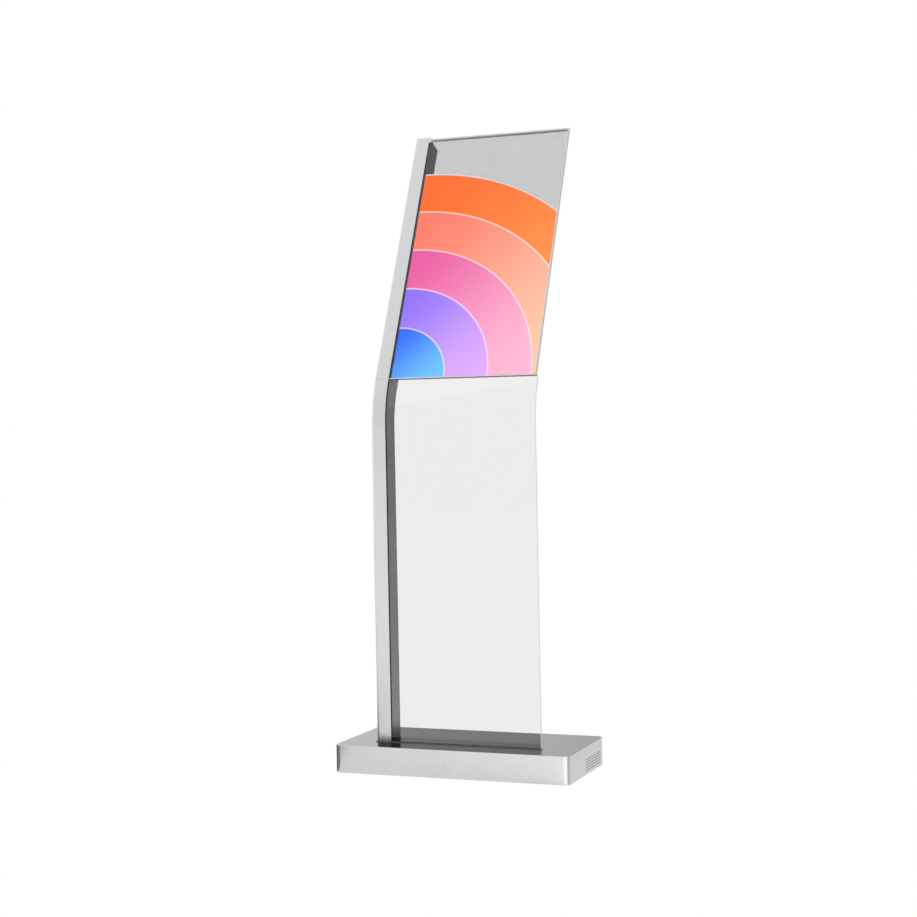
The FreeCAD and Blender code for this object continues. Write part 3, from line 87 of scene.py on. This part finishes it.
def srgb(red, green, blue):
    """A screen colour of three numbers from 0 to 255 as a linear colour."""
    shares = [c / 255 for c in (red, green, blue)]
    return tuple(s / 12.92 if s <= 0.04045 else ((s + 0.055) / 1.055) ** 2.4 for s in shares) + (1.0,)


def grey(value):
    return (value, value, value, 1.0)


class Tree:
    """Short ways to add nodes to one node tree. A value is a number, a colour or another node's output."""

    def __init__(self, tree):
        self.tree = tree

    def add(self, kind, **settings):
        node = self.tree.nodes.new(kind)
        for name, value in settings.items():
            setattr(node, name, value)
        return node

    def put(self, socket, value):
        if isinstance(value, bpy.types.NodeSocket):
            self.tree.links.new(value, socket)
        else:
            socket.default_value = value

    def maths(self, operation, first, second=0.0, clamp=False):
        node = self.add("ShaderNodeMath", operation=operation, use_clamp=clamp)
        self.put(node.inputs[0], first)
        self.put(node.inputs[1], second)
        return node.outputs[0]

    def vector_maths(self, operation, first, second=(0, 0, 0)):
        node = self.add("ShaderNodeVectorMath", operation=operation)
        self.put(node.inputs[0], first)
        self.put(node.inputs[1], second)
        scalar = operation in ("DOT_PRODUCT", "LENGTH", "DISTANCE")
        return node.outputs["Value"] if scalar else node.outputs["Vector"]

    def span(self, value, start, end, low=0.0, high=1.0, smooth=False):
        """low where value is start and high where it is end, held outside them."""
        node = self.add("ShaderNodeMapRange", interpolation_type="SMOOTHSTEP" if smooth else "LINEAR")
        sockets = ("Value", "From Min", "From Max", "To Min", "To Max")
        for name, given in zip(sockets, (value, start, end, low, high)):
            self.put(node.inputs[name], given)
        return node.outputs["Result"]

    def mix(self, share, first, second):
        node = self.add("ShaderNodeMix", data_type="RGBA", blend_type="MIX")
        self.put(node.inputs["Factor"], share)
        self.put(node.inputs[6], first)
        self.put(node.inputs[7], second)
        return node.outputs[2]

    def parts(self, vector):
        node = self.add("ShaderNodeSeparateXYZ")
        self.put(node.inputs[0], vector)
        return node.outputs

    def noise(self, vector, scale, detail=3.0, roughness=0.5):
        node = self.add("ShaderNodeTexNoise")
        self.put(node.inputs["Vector"], vector)
        self.put(node.inputs["Scale"], scale)
        self.put(node.inputs["Detail"], detail)
        self.put(node.inputs["Roughness"], roughness)
        return node.outputs[0]

    def place(self, name="Object"):
        return self.add("ShaderNodeTexCoord").outputs[name]

    def stretched(self, vector, scale):
        return self.vector_maths("MULTIPLY", vector, scale)

    def bump(self, height, strength, distance):
        node = self.add("ShaderNodeBump")
        self.put(node.inputs["Height"], height)
        node.inputs["Strength"].default_value = strength
        node.inputs["Distance"].default_value = distance
        return node.outputs[0]


def new_material(name):
    """(material, its tree, its Principled shader)."""
    material = bpy.data.materials.new(name)
    material.use_nodes = True
    tree = Tree(material.node_tree)
    shader = material.node_tree.nodes["Principled BSDF"]
    return material, tree, shader


# ---------------------------------------------------------------- metals


GRAIN_DEPTH = 0.00002
GRAIN_FINE = 1400
GRAIN_LONG_X = 7
GRAIN_LONG_Z = 9
LEVEL_FACE = 0.9


def brushed_metal(name, colour, roughness, along, clouds=0.05, grain=0.3):
    """Satin metal with a fine grain. along names the face direction that the brushing follows, X or Z."""
    material, tree, shader = new_material(name)
    place = tree.place()
    upward = tree.maths("ABSOLUTE", tree.parts(tree.add("ShaderNodeNewGeometry").outputs["Normal"])[2])
    long = GRAIN_LONG_X if along == "X" else GRAIN_LONG_Z
    wall_stretch = (long, long, GRAIN_FINE) if along == "X" else (GRAIN_FINE, GRAIN_FINE, long)
    wall_grain = tree.noise(tree.stretched(place, wall_stretch), 1.0, 4)
    flat_grain = tree.noise(tree.stretched(place, (long, GRAIN_FINE, long)), 1.0, 4)
    level = tree.maths("GREATER_THAN", upward, LEVEL_FACE)
    fine = tree.maths(
        "ADD",
        tree.maths("MULTIPLY", wall_grain, tree.maths("SUBTRACT", 1.0, level)),
        tree.maths("MULTIPLY", flat_grain, level),
    )
    cloud = tree.noise(tree.stretched(place, (9, 9, 16)), 1.0, 6, 0.62)
    patch = tree.noise(tree.stretched(place, (150, 150, 210)), 1.0, 5, 0.6)
    shade = tree.maths("ADD", tree.maths("MULTIPLY", cloud, 0.4), tree.maths("MULTIPLY", patch, 0.6))
    light = tuple(min(1.0, c * (1 + clouds)) for c in colour) + (1.0,)
    dark = tuple(c * (1 - clouds) for c in colour) + (1.0,)
    tree.put(shader.inputs["Base Color"], tree.mix(tree.span(shade, 0.35, 0.65), dark, light))
    tree.put(
        shader.inputs["Roughness"],
        tree.maths(
            "ADD",
            tree.span(fine, 0.3, 0.7, roughness - 0.03, roughness + 0.03),
            tree.span(shade, 0.3, 0.7, -0.02, 0.02),
        ),
    )
    tree.put(shader.inputs["Normal"], tree.bump(fine, grain, GRAIN_DEPTH))
    shader.inputs["Metallic"].default_value = 1.0
    return material


def powder_coat(name, colour, roughness=0.48):
    """Baked powder coat: an even colour with the small dimples of its surface."""
    material, tree, shader = new_material(name)
    place = tree.place()
    dimples = tree.noise(place, 900.0, 3, 0.55)
    drift = tree.noise(place, 22.0, 4, 0.6)
    pale = tuple(c * 1.35 for c in colour) + (1.0,)
    deep = tuple(c * 0.8 for c in colour) + (1.0,)
    tree.put(shader.inputs["Base Color"], tree.mix(tree.span(drift, 0.3, 0.7), deep, pale))
    tree.put(shader.inputs["Roughness"], tree.span(dimples, 0.3, 0.7, roughness - 0.08, roughness + 0.08))
    tree.put(shader.inputs["Normal"], tree.bump(dimples, 0.35, 0.00008))
    return material


def satin_lacquer():
    """Thin edge profiles with a pale grey satin lacquer that has a slight orange peel."""
    material, tree, shader = new_material("trim_metal")
    place = tree.place()
    peel = tree.noise(place, 260.0, 3, 0.5)
    drift = tree.noise(tree.stretched(place, (6, 6, 9)), 1.0, 4, 0.6)
    tree.put(shader.inputs["Base Color"], tree.mix(tree.span(drift, 0.3, 0.7), grey(0.52), grey(0.57)))
    tree.put(shader.inputs["Roughness"], tree.span(peel, 0.3, 0.7, 0.34, 0.42))
    tree.put(shader.inputs["Normal"], tree.bump(peel, 0.15, 0.00004))
    return material


def plated_steel(name, colour, roughness=0.34):
    """Zinc plate: cool grey with faint cells and worn spots."""
    material, tree, shader = new_material(name)
    place = tree.place()
    cells = tree.add("ShaderNodeTexVoronoi")
    tree.put(cells.inputs["Vector"], place)
    tree.put(cells.inputs["Scale"], 130.0)
    tone = tree.parts(cells.outputs["Color"])[0]
    wear = tree.noise(place, 60.0, 5, 0.65)
    shade = tree.maths("ADD", tree.maths("MULTIPLY", tone, 0.35), tree.maths("MULTIPLY", wear, 0.65))
    bright = tuple(min(1.0, c * 1.12) for c in colour) + (1.0,)
    dull = tuple(c * 0.82 for c in colour) + (1.0,)
    tree.put(shader.inputs["Base Color"], tree.mix(tree.span(shade, 0.25, 0.75), dull, bright))
    tree.put(shader.inputs["Roughness"], tree.span(shade, 0.2, 0.8, roughness + 0.1, roughness - 0.06))
    tree.put(shader.inputs["Normal"], tree.bump(wear, 0.2, 0.00003))
    shader.inputs["Metallic"].default_value = 1.0
    return material


# ---------------------------------------------------------------- plastics, rubber and film


def moulded_plastic(name, colour, roughness, texture=1100.0, sheen=0.0):
    """Moulded plastic with a fine spark-eroded texture."""
    material, tree, shader = new_material(name)
    place = tree.place()
    fine = tree.noise(place, texture, 2, 0.5)
    broad = tree.noise(place, 35.0, 4, 0.6)
    pale = tuple(min(1.0, c * 1.25 + 0.004) for c in colour) + (1.0,)
    deep = tuple(c * 0.85 for c in colour) + (1.0,)
    tree.put(shader.inputs["Base Color"], tree.mix(tree.span(broad, 0.3, 0.7), deep, pale))
    tree.put(shader.inputs["Roughness"], tree.span(fine, 0.3, 0.7, roughness - 0.05, roughness + 0.07))
    tree.put(shader.inputs["Normal"], tree.bump(fine, 0.25, 0.00005))
    shader.inputs["Sheen Weight"].default_value = sheen
    return material


def circuit_board():
    """Green solder mask over a pattern of copper tracks, with pale pads."""
    material, tree, shader = new_material("circuit_board")
    place = tree.place()
    tracks = tree.add("ShaderNodeTexBrick", offset=0.37, squash=0.6, squash_frequency=3)
    tree.put(tracks.inputs["Vector"], place)
    for name, value in (("Scale", 95.0), ("Mortar Size", 0.035), ("Brick Width", 0.9), ("Row Height", 0.28)):
        tracks.inputs[name].default_value = value
    dots = tree.add("ShaderNodeTexVoronoi")
    tree.put(dots.inputs["Vector"], place)
    tree.put(dots.inputs["Scale"], 260.0)
    pads = tree.maths("LESS_THAN", dots.outputs["Distance"], 0.16)
    mask = tree.mix(tracks.outputs["Fac"], srgb(16, 78, 46), srgb(38, 122, 70))
    tree.put(shader.inputs["Base Color"], tree.mix(pads, mask, srgb(205, 190, 150)))
    tree.put(shader.inputs["Roughness"], tree.span(tracks.outputs["Fac"], 0, 1, 0.42, 0.3))
    tree.put(shader.inputs["Normal"], tree.bump(tracks.outputs["Fac"], 0.3, 0.00004))
    return material


COPPER_LINES = 5200.0


def flex_film():
    """Amber film with fine copper lines along it."""
    material, tree, shader = new_material("flex_film")
    place = tree.place()
    lines = tree.maths("SINE", tree.maths("MULTIPLY", tree.parts(place)[0], COPPER_LINES))
    copper = tree.span(lines, 0.1, 0.5)
    tone = tree.noise(place, 40.0, 3)
    film = tree.mix(tone, srgb(196, 122, 28), srgb(168, 92, 18))
    tree.put(shader.inputs["Base Color"], tree.mix(copper, film, srgb(214, 150, 74)))
    tree.put(shader.inputs["Roughness"], tree.span(tone, 0.3, 0.7, 0.22, 0.36))
    return material


def lead_jacket():
    """Soft black jacket with the faint waviness of the strands below it."""
    material, tree, shader = new_material("lead_jacket")
    place = tree.place()
    waves = tree.noise(place, 420.0, 2, 0.5)
    dust = tree.noise(place, 60.0, 5, 0.7)
    tree.put(shader.inputs["Base Color"], tree.mix(dust, grey(0.012), grey(0.035)))
    tree.put(shader.inputs["Roughness"], tree.span(dust, 0.3, 0.7, 0.42, 0.6))
    tree.put(shader.inputs["Normal"], tree.bump(waves, 0.3, 0.0001))
    return material


# ---------------------------------------------------------------- glass and display


EDGE_FACING = 0.7
COATING_IOR = 1.14


def ground_edge(tree):
    """1 on the narrow faces round a sheet and 0 on its two broad faces."""
    across, _, upward = tree.parts(tree.add("ShaderNodeNewGeometry").outputs["Normal"])
    side = tree.maths("GREATER_THAN", tree.maths("ABSOLUTE", across), EDGE_FACING)
    end = tree.maths("GREATER_THAN", tree.maths("ABSOLUTE", upward), EDGE_FACING)
    return tree.maths("MAXIMUM", side, end)


def clear_glass():
    """The lower sheet: clear and grey tinted, with faint marks of cleaning and finely ground edges."""
    material, tree, shader = new_material("clear_glass")
    marks = tree.noise(tree.stretched(tree.place(), (9, 9, 3)), 1.0, 6, 0.7)
    edge = ground_edge(tree)
    tree.put(shader.inputs["Roughness"], tree.span(edge, 0, 1, tree.span(marks, 0.45, 0.8, 0.0, 0.02), 0.5))
    tree.put(shader.inputs["Base Color"], tree.mix(edge, grey(0.352), grey(0.86)))
    tree.put(shader.inputs["Transmission Weight"], tree.span(edge, 0, 1, 1.0, 0.15))
    shader.inputs["IOR"].default_value = 1.5
    return material


def pane_glass(name, passed):
    """A coated, bonded sheet. Each face passes a share of the light, and the ground edges carry a faint
    painted glow.
    """
    material, tree, shader = new_material(name)
    tree.tree.nodes.remove(shader)
    clear = tree.add("ShaderNodeBsdfTransparent")
    clear.inputs["Color"].default_value = passed + (1.0,)
    mirror = tree.add("ShaderNodeBsdfGlossy")
    mirror.inputs["Color"].default_value = grey(0.9)
    marks = tree.noise(tree.place(), 8.0, 6, 0.7)
    tree.put(mirror.inputs["Roughness"], tree.span(marks, 0.4, 0.8, 0.02, 0.035))
    angle = tree.add("ShaderNodeFresnel")
    angle.inputs["IOR"].default_value = COATING_IOR
    broad = tree.add("ShaderNodeMixShader")
    tree.put(broad.inputs[0], angle.outputs[0])
    tree.put(broad.inputs[1], clear.outputs[0])
    tree.put(broad.inputs[2], mirror.outputs[0])
    # Painted light: the ground edges glow faintly by emission, though no lamp is in them.
    painted_edge_glow = tree.add("ShaderNodeEmission")
    grit = tree.noise(tree.place(), 700.0, 2)
    tree.put(painted_edge_glow.inputs["Color"], tree.mix(tree.span(grit, 0.3, 0.7), grey(0.52), grey(0.62)))
    both = tree.add("ShaderNodeMixShader")
    tree.put(both.inputs[0], ground_edge(tree))
    tree.put(both.inputs[1], broad.outputs[0])
    tree.put(both.inputs[2], painted_edge_glow.outputs[0])
    tree.put(tree.tree.nodes["Material Output"].inputs[0], both.outputs[0])
    return material


# The rings of colour of the picture, the widest first: the outer radius as a share of the picture's width,
# and the colours that the ring turns from and to.
RINGS = [
    (1.58, (255, 104, 20), (255, 168, 84)),
    (1.28, (255, 120, 100), (255, 206, 176)),
    (0.98, (236, 84, 160), (255, 184, 214)),
    (0.68, (140, 110, 255), (226, 170, 255)),
    (0.38, (20, 100, 255), (110, 196, 255)),
]
RING_FADE = 0.012
RIM = 0.009
RIM_COLOUR = (255, 240, 244)
RIM_STRENGTH = 0.7
GLASS_FRONT_PASSES = 0.81
PANEL_CLEAR_SHARE = 0.4


def display_picture():
    """The lit picture: plain rings of colour round the lower left corner. The panel is clear outside them."""
    material, tree, shader = new_material("display_picture")
    place = tree.add("ShaderNodeUVMap", uv_map="picture").outputs[0]
    reach = tree.vector_maths("LENGTH", place)
    slant = tree.vector_maths("DOT_PRODUCT", place, (0.7, -0.7, 0))
    colour = grey(0.0)
    for radius, first, second in RINGS:
        inside = tree.span(reach, radius, radius - RING_FADE, smooth=True)
        share = tree.span(slant, -0.7 * radius, 0.7 * radius, smooth=True)
        colour = tree.mix(inside, colour, tree.mix(share, srgb(*first), srgb(*second)))
        off = tree.maths("ABSOLUTE", tree.maths("SUBTRACT", reach, radius - RIM))
        line = tree.maths("MULTIPLY", tree.span(off, RIM, 0.0, smooth=True), RIM_STRENGTH)
        colour = tree.mix(line, colour, srgb(*RIM_COLOUR))
    widest = RINGS[0][0]
    tree.put(shader.inputs["Emission Color"], colour)
    shader.inputs["Emission Strength"].default_value = 1 / GLASS_FRONT_PASSES
    shader.inputs["Base Color"].default_value = grey(0.01)
    shader.inputs["Roughness"].default_value = 0.4
    tree.put(shader.inputs["Alpha"], tree.span(reach, widest, widest - RING_FADE, PANEL_CLEAR_SHARE, 1.0))
    return material


# ---------------------------------------------------------------- materials for the CAD nodes

MAKERS = {
    "base_metal": lambda: brushed_metal("base_metal", (0.70, 0.705, 0.71), 0.2, "X"),
    "post_metal": lambda: brushed_metal("post_metal", (0.71, 0.713, 0.72), 0.26, "Z", 0.006, 0.04),
    "trim_metal": satin_lacquer,
    "bare_aluminium": lambda: brushed_metal("bare_aluminium", (0.76, 0.765, 0.77), 0.36, "X", 0.06, 0.5),
    "plate_steel": lambda: powder_coat("plate_steel", (0.05, 0.05, 0.054)),
    "black_steel": lambda: powder_coat("black_steel", (0.028, 0.028, 0.031), 0.42),
    "zinc_steel": lambda: plated_steel("zinc_steel", (0.62, 0.63, 0.63)),
    "foot_metal": lambda: plated_steel("foot_metal", (0.55, 0.55, 0.56), 0.3),
    "clear_glass": clear_glass,
    "display_glass": lambda: pane_glass("display_glass", (0.9, 0.9, 0.9)),
    "display_panel": display_picture,
    "border_black": lambda: moulded_plastic("border_black", (0.25, 0.25, 0.255), 0.3),
    "clear_bond": lambda: pane_glass("clear_bond", (0.61, 0.604, 0.602)),
    "seal_rubber": lambda: moulded_plastic("seal_rubber", (0.1, 0.1, 0.102), 0.62, 500.0, sheen=0.1),
    "black_plastic": lambda: moulded_plastic("black_plastic", (0.022, 0.022, 0.025), 0.42),
    "rocker_plastic": lambda: moulded_plastic("rocker_plastic", (0.014, 0.014, 0.016), 0.18, 1500.0),
    "circuit_board": circuit_board,
    "flex_film": flex_film,
    "lead_jacket": lead_jacket,
}


def dress_nodes():
    """Gives each CAD node the material of its slot in the record. Returns the materials by slot."""
    made = {slot: maker() for slot, maker in MAKERS.items()}
    for row in frame["record"]["subparts"]:
        node = NODES[row["node"]]
        for place in node.material_slots:
            place.material = made[row["material_slot"]]
    return made


# ---------------------------------------------------------------- pieces in place of CAD nodes


EDGE_BAND = 0.004
SHEET_FRONT = 0.0007
SHEET_BACK = 0.0011
SHEET_COLUMNS = 6
SHEET_ROWS = 12


def join_mesh(name, mesh_maker, material, body):
    """A new flat-shaded piece from a function that fills a bmesh. It rides on body, with slot's finish."""
    data = bpy.data.meshes.new(name)
    shape = bmesh.new()
    mesh_maker(shape)
    bmesh.ops.recalc_face_normals(shape, faces=shape.faces)
    shape.to_mesh(data)
    shape.free()
    data.materials.append(material)
    piece = bpy.data.objects.new(name, data)
    bpy.context.scene.collection.objects.link(piece)
    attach(piece, body)
    return piece


def leaning_frame():
    """The panel's lower left front corner, its width and height as vectors, and the way into the glass."""
    points = [v.co.copy() for v in NODES["display_panel"].data.vertices]
    low = min(p.z for p in points)
    high = max(p.z for p in points)
    front_low = min((p for p in points if p.z < low + EDGE_BAND), key=lambda p: p.y)
    front_high = min((p for p in points if p.z > high - EDGE_BAND), key=lambda p: p.y)
    up = front_high - front_low
    up.x = 0
    up.normalize()
    left = min(p.x for p in points)
    right = max(p.x for p in points)
    length = (front_high - front_low).dot(up)
    corner = Vector((left, front_low.y, front_low.z))
    return corner, Vector((right - left, 0, 0)), up * length, Vector((0, up.z, -up.y))


def make_picture(material):
    """A thin lit sheet in the middle of the panel's layer, with a map in shares of its width."""
    corner, across, upward, inward = leaning_frame()
    columns, rows = SHEET_COLUMNS, SHEET_ROWS

    def fill(shape):
        layer = shape.loops.layers.uv.new("picture")
        grid = {}
        for depth in (SHEET_FRONT, SHEET_BACK):
            for i in range(columns + 1):
                for j in range(rows + 1):
                    spot = corner + across * (i / columns) + upward * (j / rows) + inward * depth
                    grid[depth, i, j] = shape.verts.new(spot)
        tall = upward.length / across.length
        places = {v: (k[1] / columns, k[2] / rows * tall) for k, v in grid.items()}
        cells = [(i, j) for i in range(columns) for j in range(rows)]
        for depth in (SHEET_FRONT, SHEET_BACK):
            for i, j in cells:
                shape.faces.new([grid[depth, i + a, j + b] for a, b in ((0, 0), (1, 0), (1, 1), (0, 1))])
        ring = [(i, 0) for i in range(columns)] + [(columns, j) for j in range(rows)]
        ring += [(i, rows) for i in range(columns, 0, -1)] + [(0, j) for j in range(rows, 0, -1)]
        for here, there in zip(ring, ring[1:] + ring[:1]):
            near = [grid[SHEET_FRONT, *here], grid[SHEET_FRONT, *there]]
            shape.faces.new(near + [grid[SHEET_BACK, *there], grid[SHEET_BACK, *here]])
        for face in shape.faces:
            for loop in face.loops:
                loop[layer].uv = places[loop.vert]

    piece = join_mesh("display_picture", fill, material, "base")
    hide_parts("display_panel")


# ---------------------------------------------------------------- studio

BACKLIGHT = 2.44
SECOND_MIRROR = 0.05
LIGHT_ABOVE = 0.93
LIGHT_BEHIND = (0.42, 0.88)
LIGHT_FRONT = (0.84, 1.2)
LEFT_GAIN = 0.32


def seen_directly(tree, own_step=0.0):
    """1 for a ray that has only passed through clear things since the camera, and 0 for any other."""
    path = tree.add("ShaderNodeLightPath").outputs
    sight = tree.maths("MAXIMUM", path["Is Camera Ray"], path["Is Transmission Ray"])
    turned = tree.maths("SUBTRACT", path["Ray Depth"], path["Transmission Depth"])
    unturned = tree.maths("SUBTRACT", 1.0 + own_step, turned, clamp=True)
    return tree.maths("MULTIPLY", sight, unturned)


def white_level(tree):
    """Plain white in the open, and the full strength of the backlight through glass."""
    path = tree.add("ShaderNodeLightPath").outputs
    sheets = tree.maths("ADD", path["Transmission Depth"], path["Transparent Depth"], clamp=True)
    return tree.span(sheets, 0.0, 1.0, 1.0, BACKLIGHT)


def second_mirror(tree):
    """1 at a first reflection and nearly 0 from the second on."""
    path = tree.add("ShaderNodeLightPath").outputs
    return tree.span(path["Glossy Depth"], 1.0, 2.0, 1.0, SECOND_MIRROR)


def make_world():
    """A soft studio: white to look at, even light from the front, dimmer behind and brighter at the left."""
    world = bpy.data.worlds.new("studio")
    world.use_nodes = True
    bpy.context.scene.world = world
    tree = Tree(world.node_tree)
    tree.tree.nodes.remove(tree.tree.nodes["Background"])
    x, y, z = tree.parts(tree.place("Generated"))
    leftmost = tree.span(x, -0.5, -0.9, 0.0, 1.0)
    left_gain = tree.maths("MULTIPLY", leftmost, LEFT_GAIN)
    behind = tree.maths("ADD", tree.span(x, -0.26, -0.62, *LIGHT_BEHIND), left_gain)
    front = tree.span(leftmost, 0.0, 1.0, *LIGHT_FRONT)
    side = tree.maths(
        "ADD",
        tree.maths("MULTIPLY", behind, tree.span(y, -0.3, 0.3, 0.0, 1.0, smooth=True)),
        tree.maths("MULTIPLY", front, tree.span(y, 0.3, -0.3, 0.0, 1.0, smooth=True)),
    )
    level = tree.mix(tree.span(z, 0.25, 0.8, smooth=True), side, grey(LIGHT_ABOVE))
    dimmed = tree.maths("MULTIPLY", tree.parts(level)[0], second_mirror(tree))
    light = tree.add("ShaderNodeBackground")
    light.inputs["Color"].default_value = grey(1.0)
    tree.put(light.inputs["Strength"], dimmed)
    white = tree.add("ShaderNodeBackground")
    white.inputs["Color"].default_value = grey(1.0)
    tree.put(white.inputs["Strength"], white_level(tree))
    both = tree.add("ShaderNodeMixShader")
    tree.put(both.inputs[0], seen_directly(tree, own_step=1.0))
    tree.put(both.inputs[1], light.outputs[0])
    tree.put(both.inputs[2], white.outputs[0])
    tree.put(tree.tree.nodes["World Output"].inputs[0], both.outputs[0])


# How bright the floor looks in metal and glass, by its bearing in degrees from the base's front right corner.
FLOOR_LIGHT = [
    (-180, 0.87), (-165, 0.88), (-150, 0.93), (-111, 1.08), (-92, 1.3), (-45, 1.4), (-25, 0.95), (-10, 0.58),
    (15, 0.58), (45, 0.78), (90, 0.8), (180, 0.85),
]
FLOOR_TOP = 1.4
FLOOR_HALF = 12.0
FAR_FLOOR = (0.6, 3.0)
FAR_LEVEL = 0.65
SHADOW_REACH = (0.9, 1.5)
SHADOW_EDGE = (-0.004, 0.025)
SHADOW_WAY = (0.93, 0.36)
SHADOW_LEVEL = 0.2


def make_floor():
    """A plain white floor. Its mirror image is painted with light and shade by bearing, like a room's floor,
    with a painted soft shadow of the base.
    """
    half = FLOOR_HALF
    data = bpy.data.meshes.new("floor")
    corners = [(-half, -half, 0), (half, -half, 0), (half, half, 0), (-half, half, 0)]
    data.from_pydata(corners, [], [(0, 1, 2, 3)])
    floor = bpy.data.objects.new("floor", data)
    bpy.context.scene.collection.objects.link(floor)
    material, tree, shader = new_material("floor")
    tree.tree.nodes.remove(shader)
    x, y, _ = tree.parts(tree.place())
    base_low, base_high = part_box("base_cover")
    from_right = tree.maths("SUBTRACT", x, base_high.x)
    from_left = tree.maths("SUBTRACT", x, base_low.x)
    from_front = tree.maths("SUBTRACT", y, base_low.y)
    bearing = tree.maths("ARCTAN2", from_front, from_right)
    ramp = tree.add("ShaderNodeValToRGB")
    tree.put(ramp.inputs[0], tree.span(bearing, -math.pi, math.pi))
    stops = ramp.color_ramp.elements
    for degrees, value in FLOOR_LIGHT[1:-1]:
        stops.new((degrees + 180) / 360).color = grey(value / FLOOR_TOP)
    stops[0].color = grey(FLOOR_LIGHT[0][1] / FLOOR_TOP)
    stops[-1].color = grey(FLOOR_LIGHT[-1][1] / FLOOR_TOP)
    round_base = tree.maths("MULTIPLY", tree.parts(ramp.outputs[0])[0], FLOOR_TOP)
    far = tree.span(y, *FAR_FLOOR, 1.0, FAR_LEVEL)
    # Painted shadow: the floor's mirror image is darkened in a band beside the base's left side.
    leftward = tree.maths(
        "SUBTRACT",
        tree.maths("MULTIPLY", from_front, SHADOW_WAY[1]),
        tree.maths("MULTIPLY", from_left, SHADOW_WAY[0]),
    )
    near = tree.span(tree.vector_maths("LENGTH", tree.place()), *SHADOW_REACH, 1.0, 0.0)
    shadow = tree.maths("MULTIPLY", tree.span(leftward, *SHADOW_EDGE, smooth=True), near)
    shaded = tree.span(shadow, 0, 1, 1.0, SHADOW_LEVEL)
    level = tree.maths("MULTIPLY", tree.maths("MULTIPLY", round_base, far), shaded)
    mirrored = tree.maths("MULTIPLY", level, second_mirror(tree))
    direct = seen_directly(tree)
    strength = tree.maths(
        "ADD",
        tree.maths("MULTIPLY", direct, white_level(tree)),
        tree.maths("MULTIPLY", tree.maths("SUBTRACT", 1.0, direct), mirrored),
    )
    glow = tree.add("ShaderNodeEmission")
    tree.put(glow.inputs["Strength"], strength)
    tree.put(tree.tree.nodes["Material Output"].inputs[0], glow.outputs[0])
    data.materials.append(material)


# Name, place, side and power of each lamp.
LAMPS = [
    ("lamp_left", (-2.2, -2.4, 3.2), 2.2, 30),
    ("lamp_right", (2.4, -1.0, 3.0), 2.0, 18),
]
LAMP_AIM = (0, 0, 0.8)


def make_lights():
    """Two large soft lamps, above to the left and to the right."""
    for name, place, size, power in LAMPS:
        data = bpy.data.lights.new(name, "AREA")
        data.size = size
        data.energy = power
        lamp = bpy.data.objects.new(name, data)
        lamp.location = place
        lamp.rotation_mode = "QUATERNION"
        lamp.rotation_quaternion = (Vector(LAMP_AIM) - Vector(place)).to_track_quat("-Z", "Y")
        lamp.visible_glossy = False
        bpy.context.scene.collection.objects.link(lamp)


bpy.context.scene.view_settings.view_transform = "Standard"
make_camera()
materials = dress_nodes()
make_picture(materials["display_panel"])
make_world()
make_floor()
make_lights()
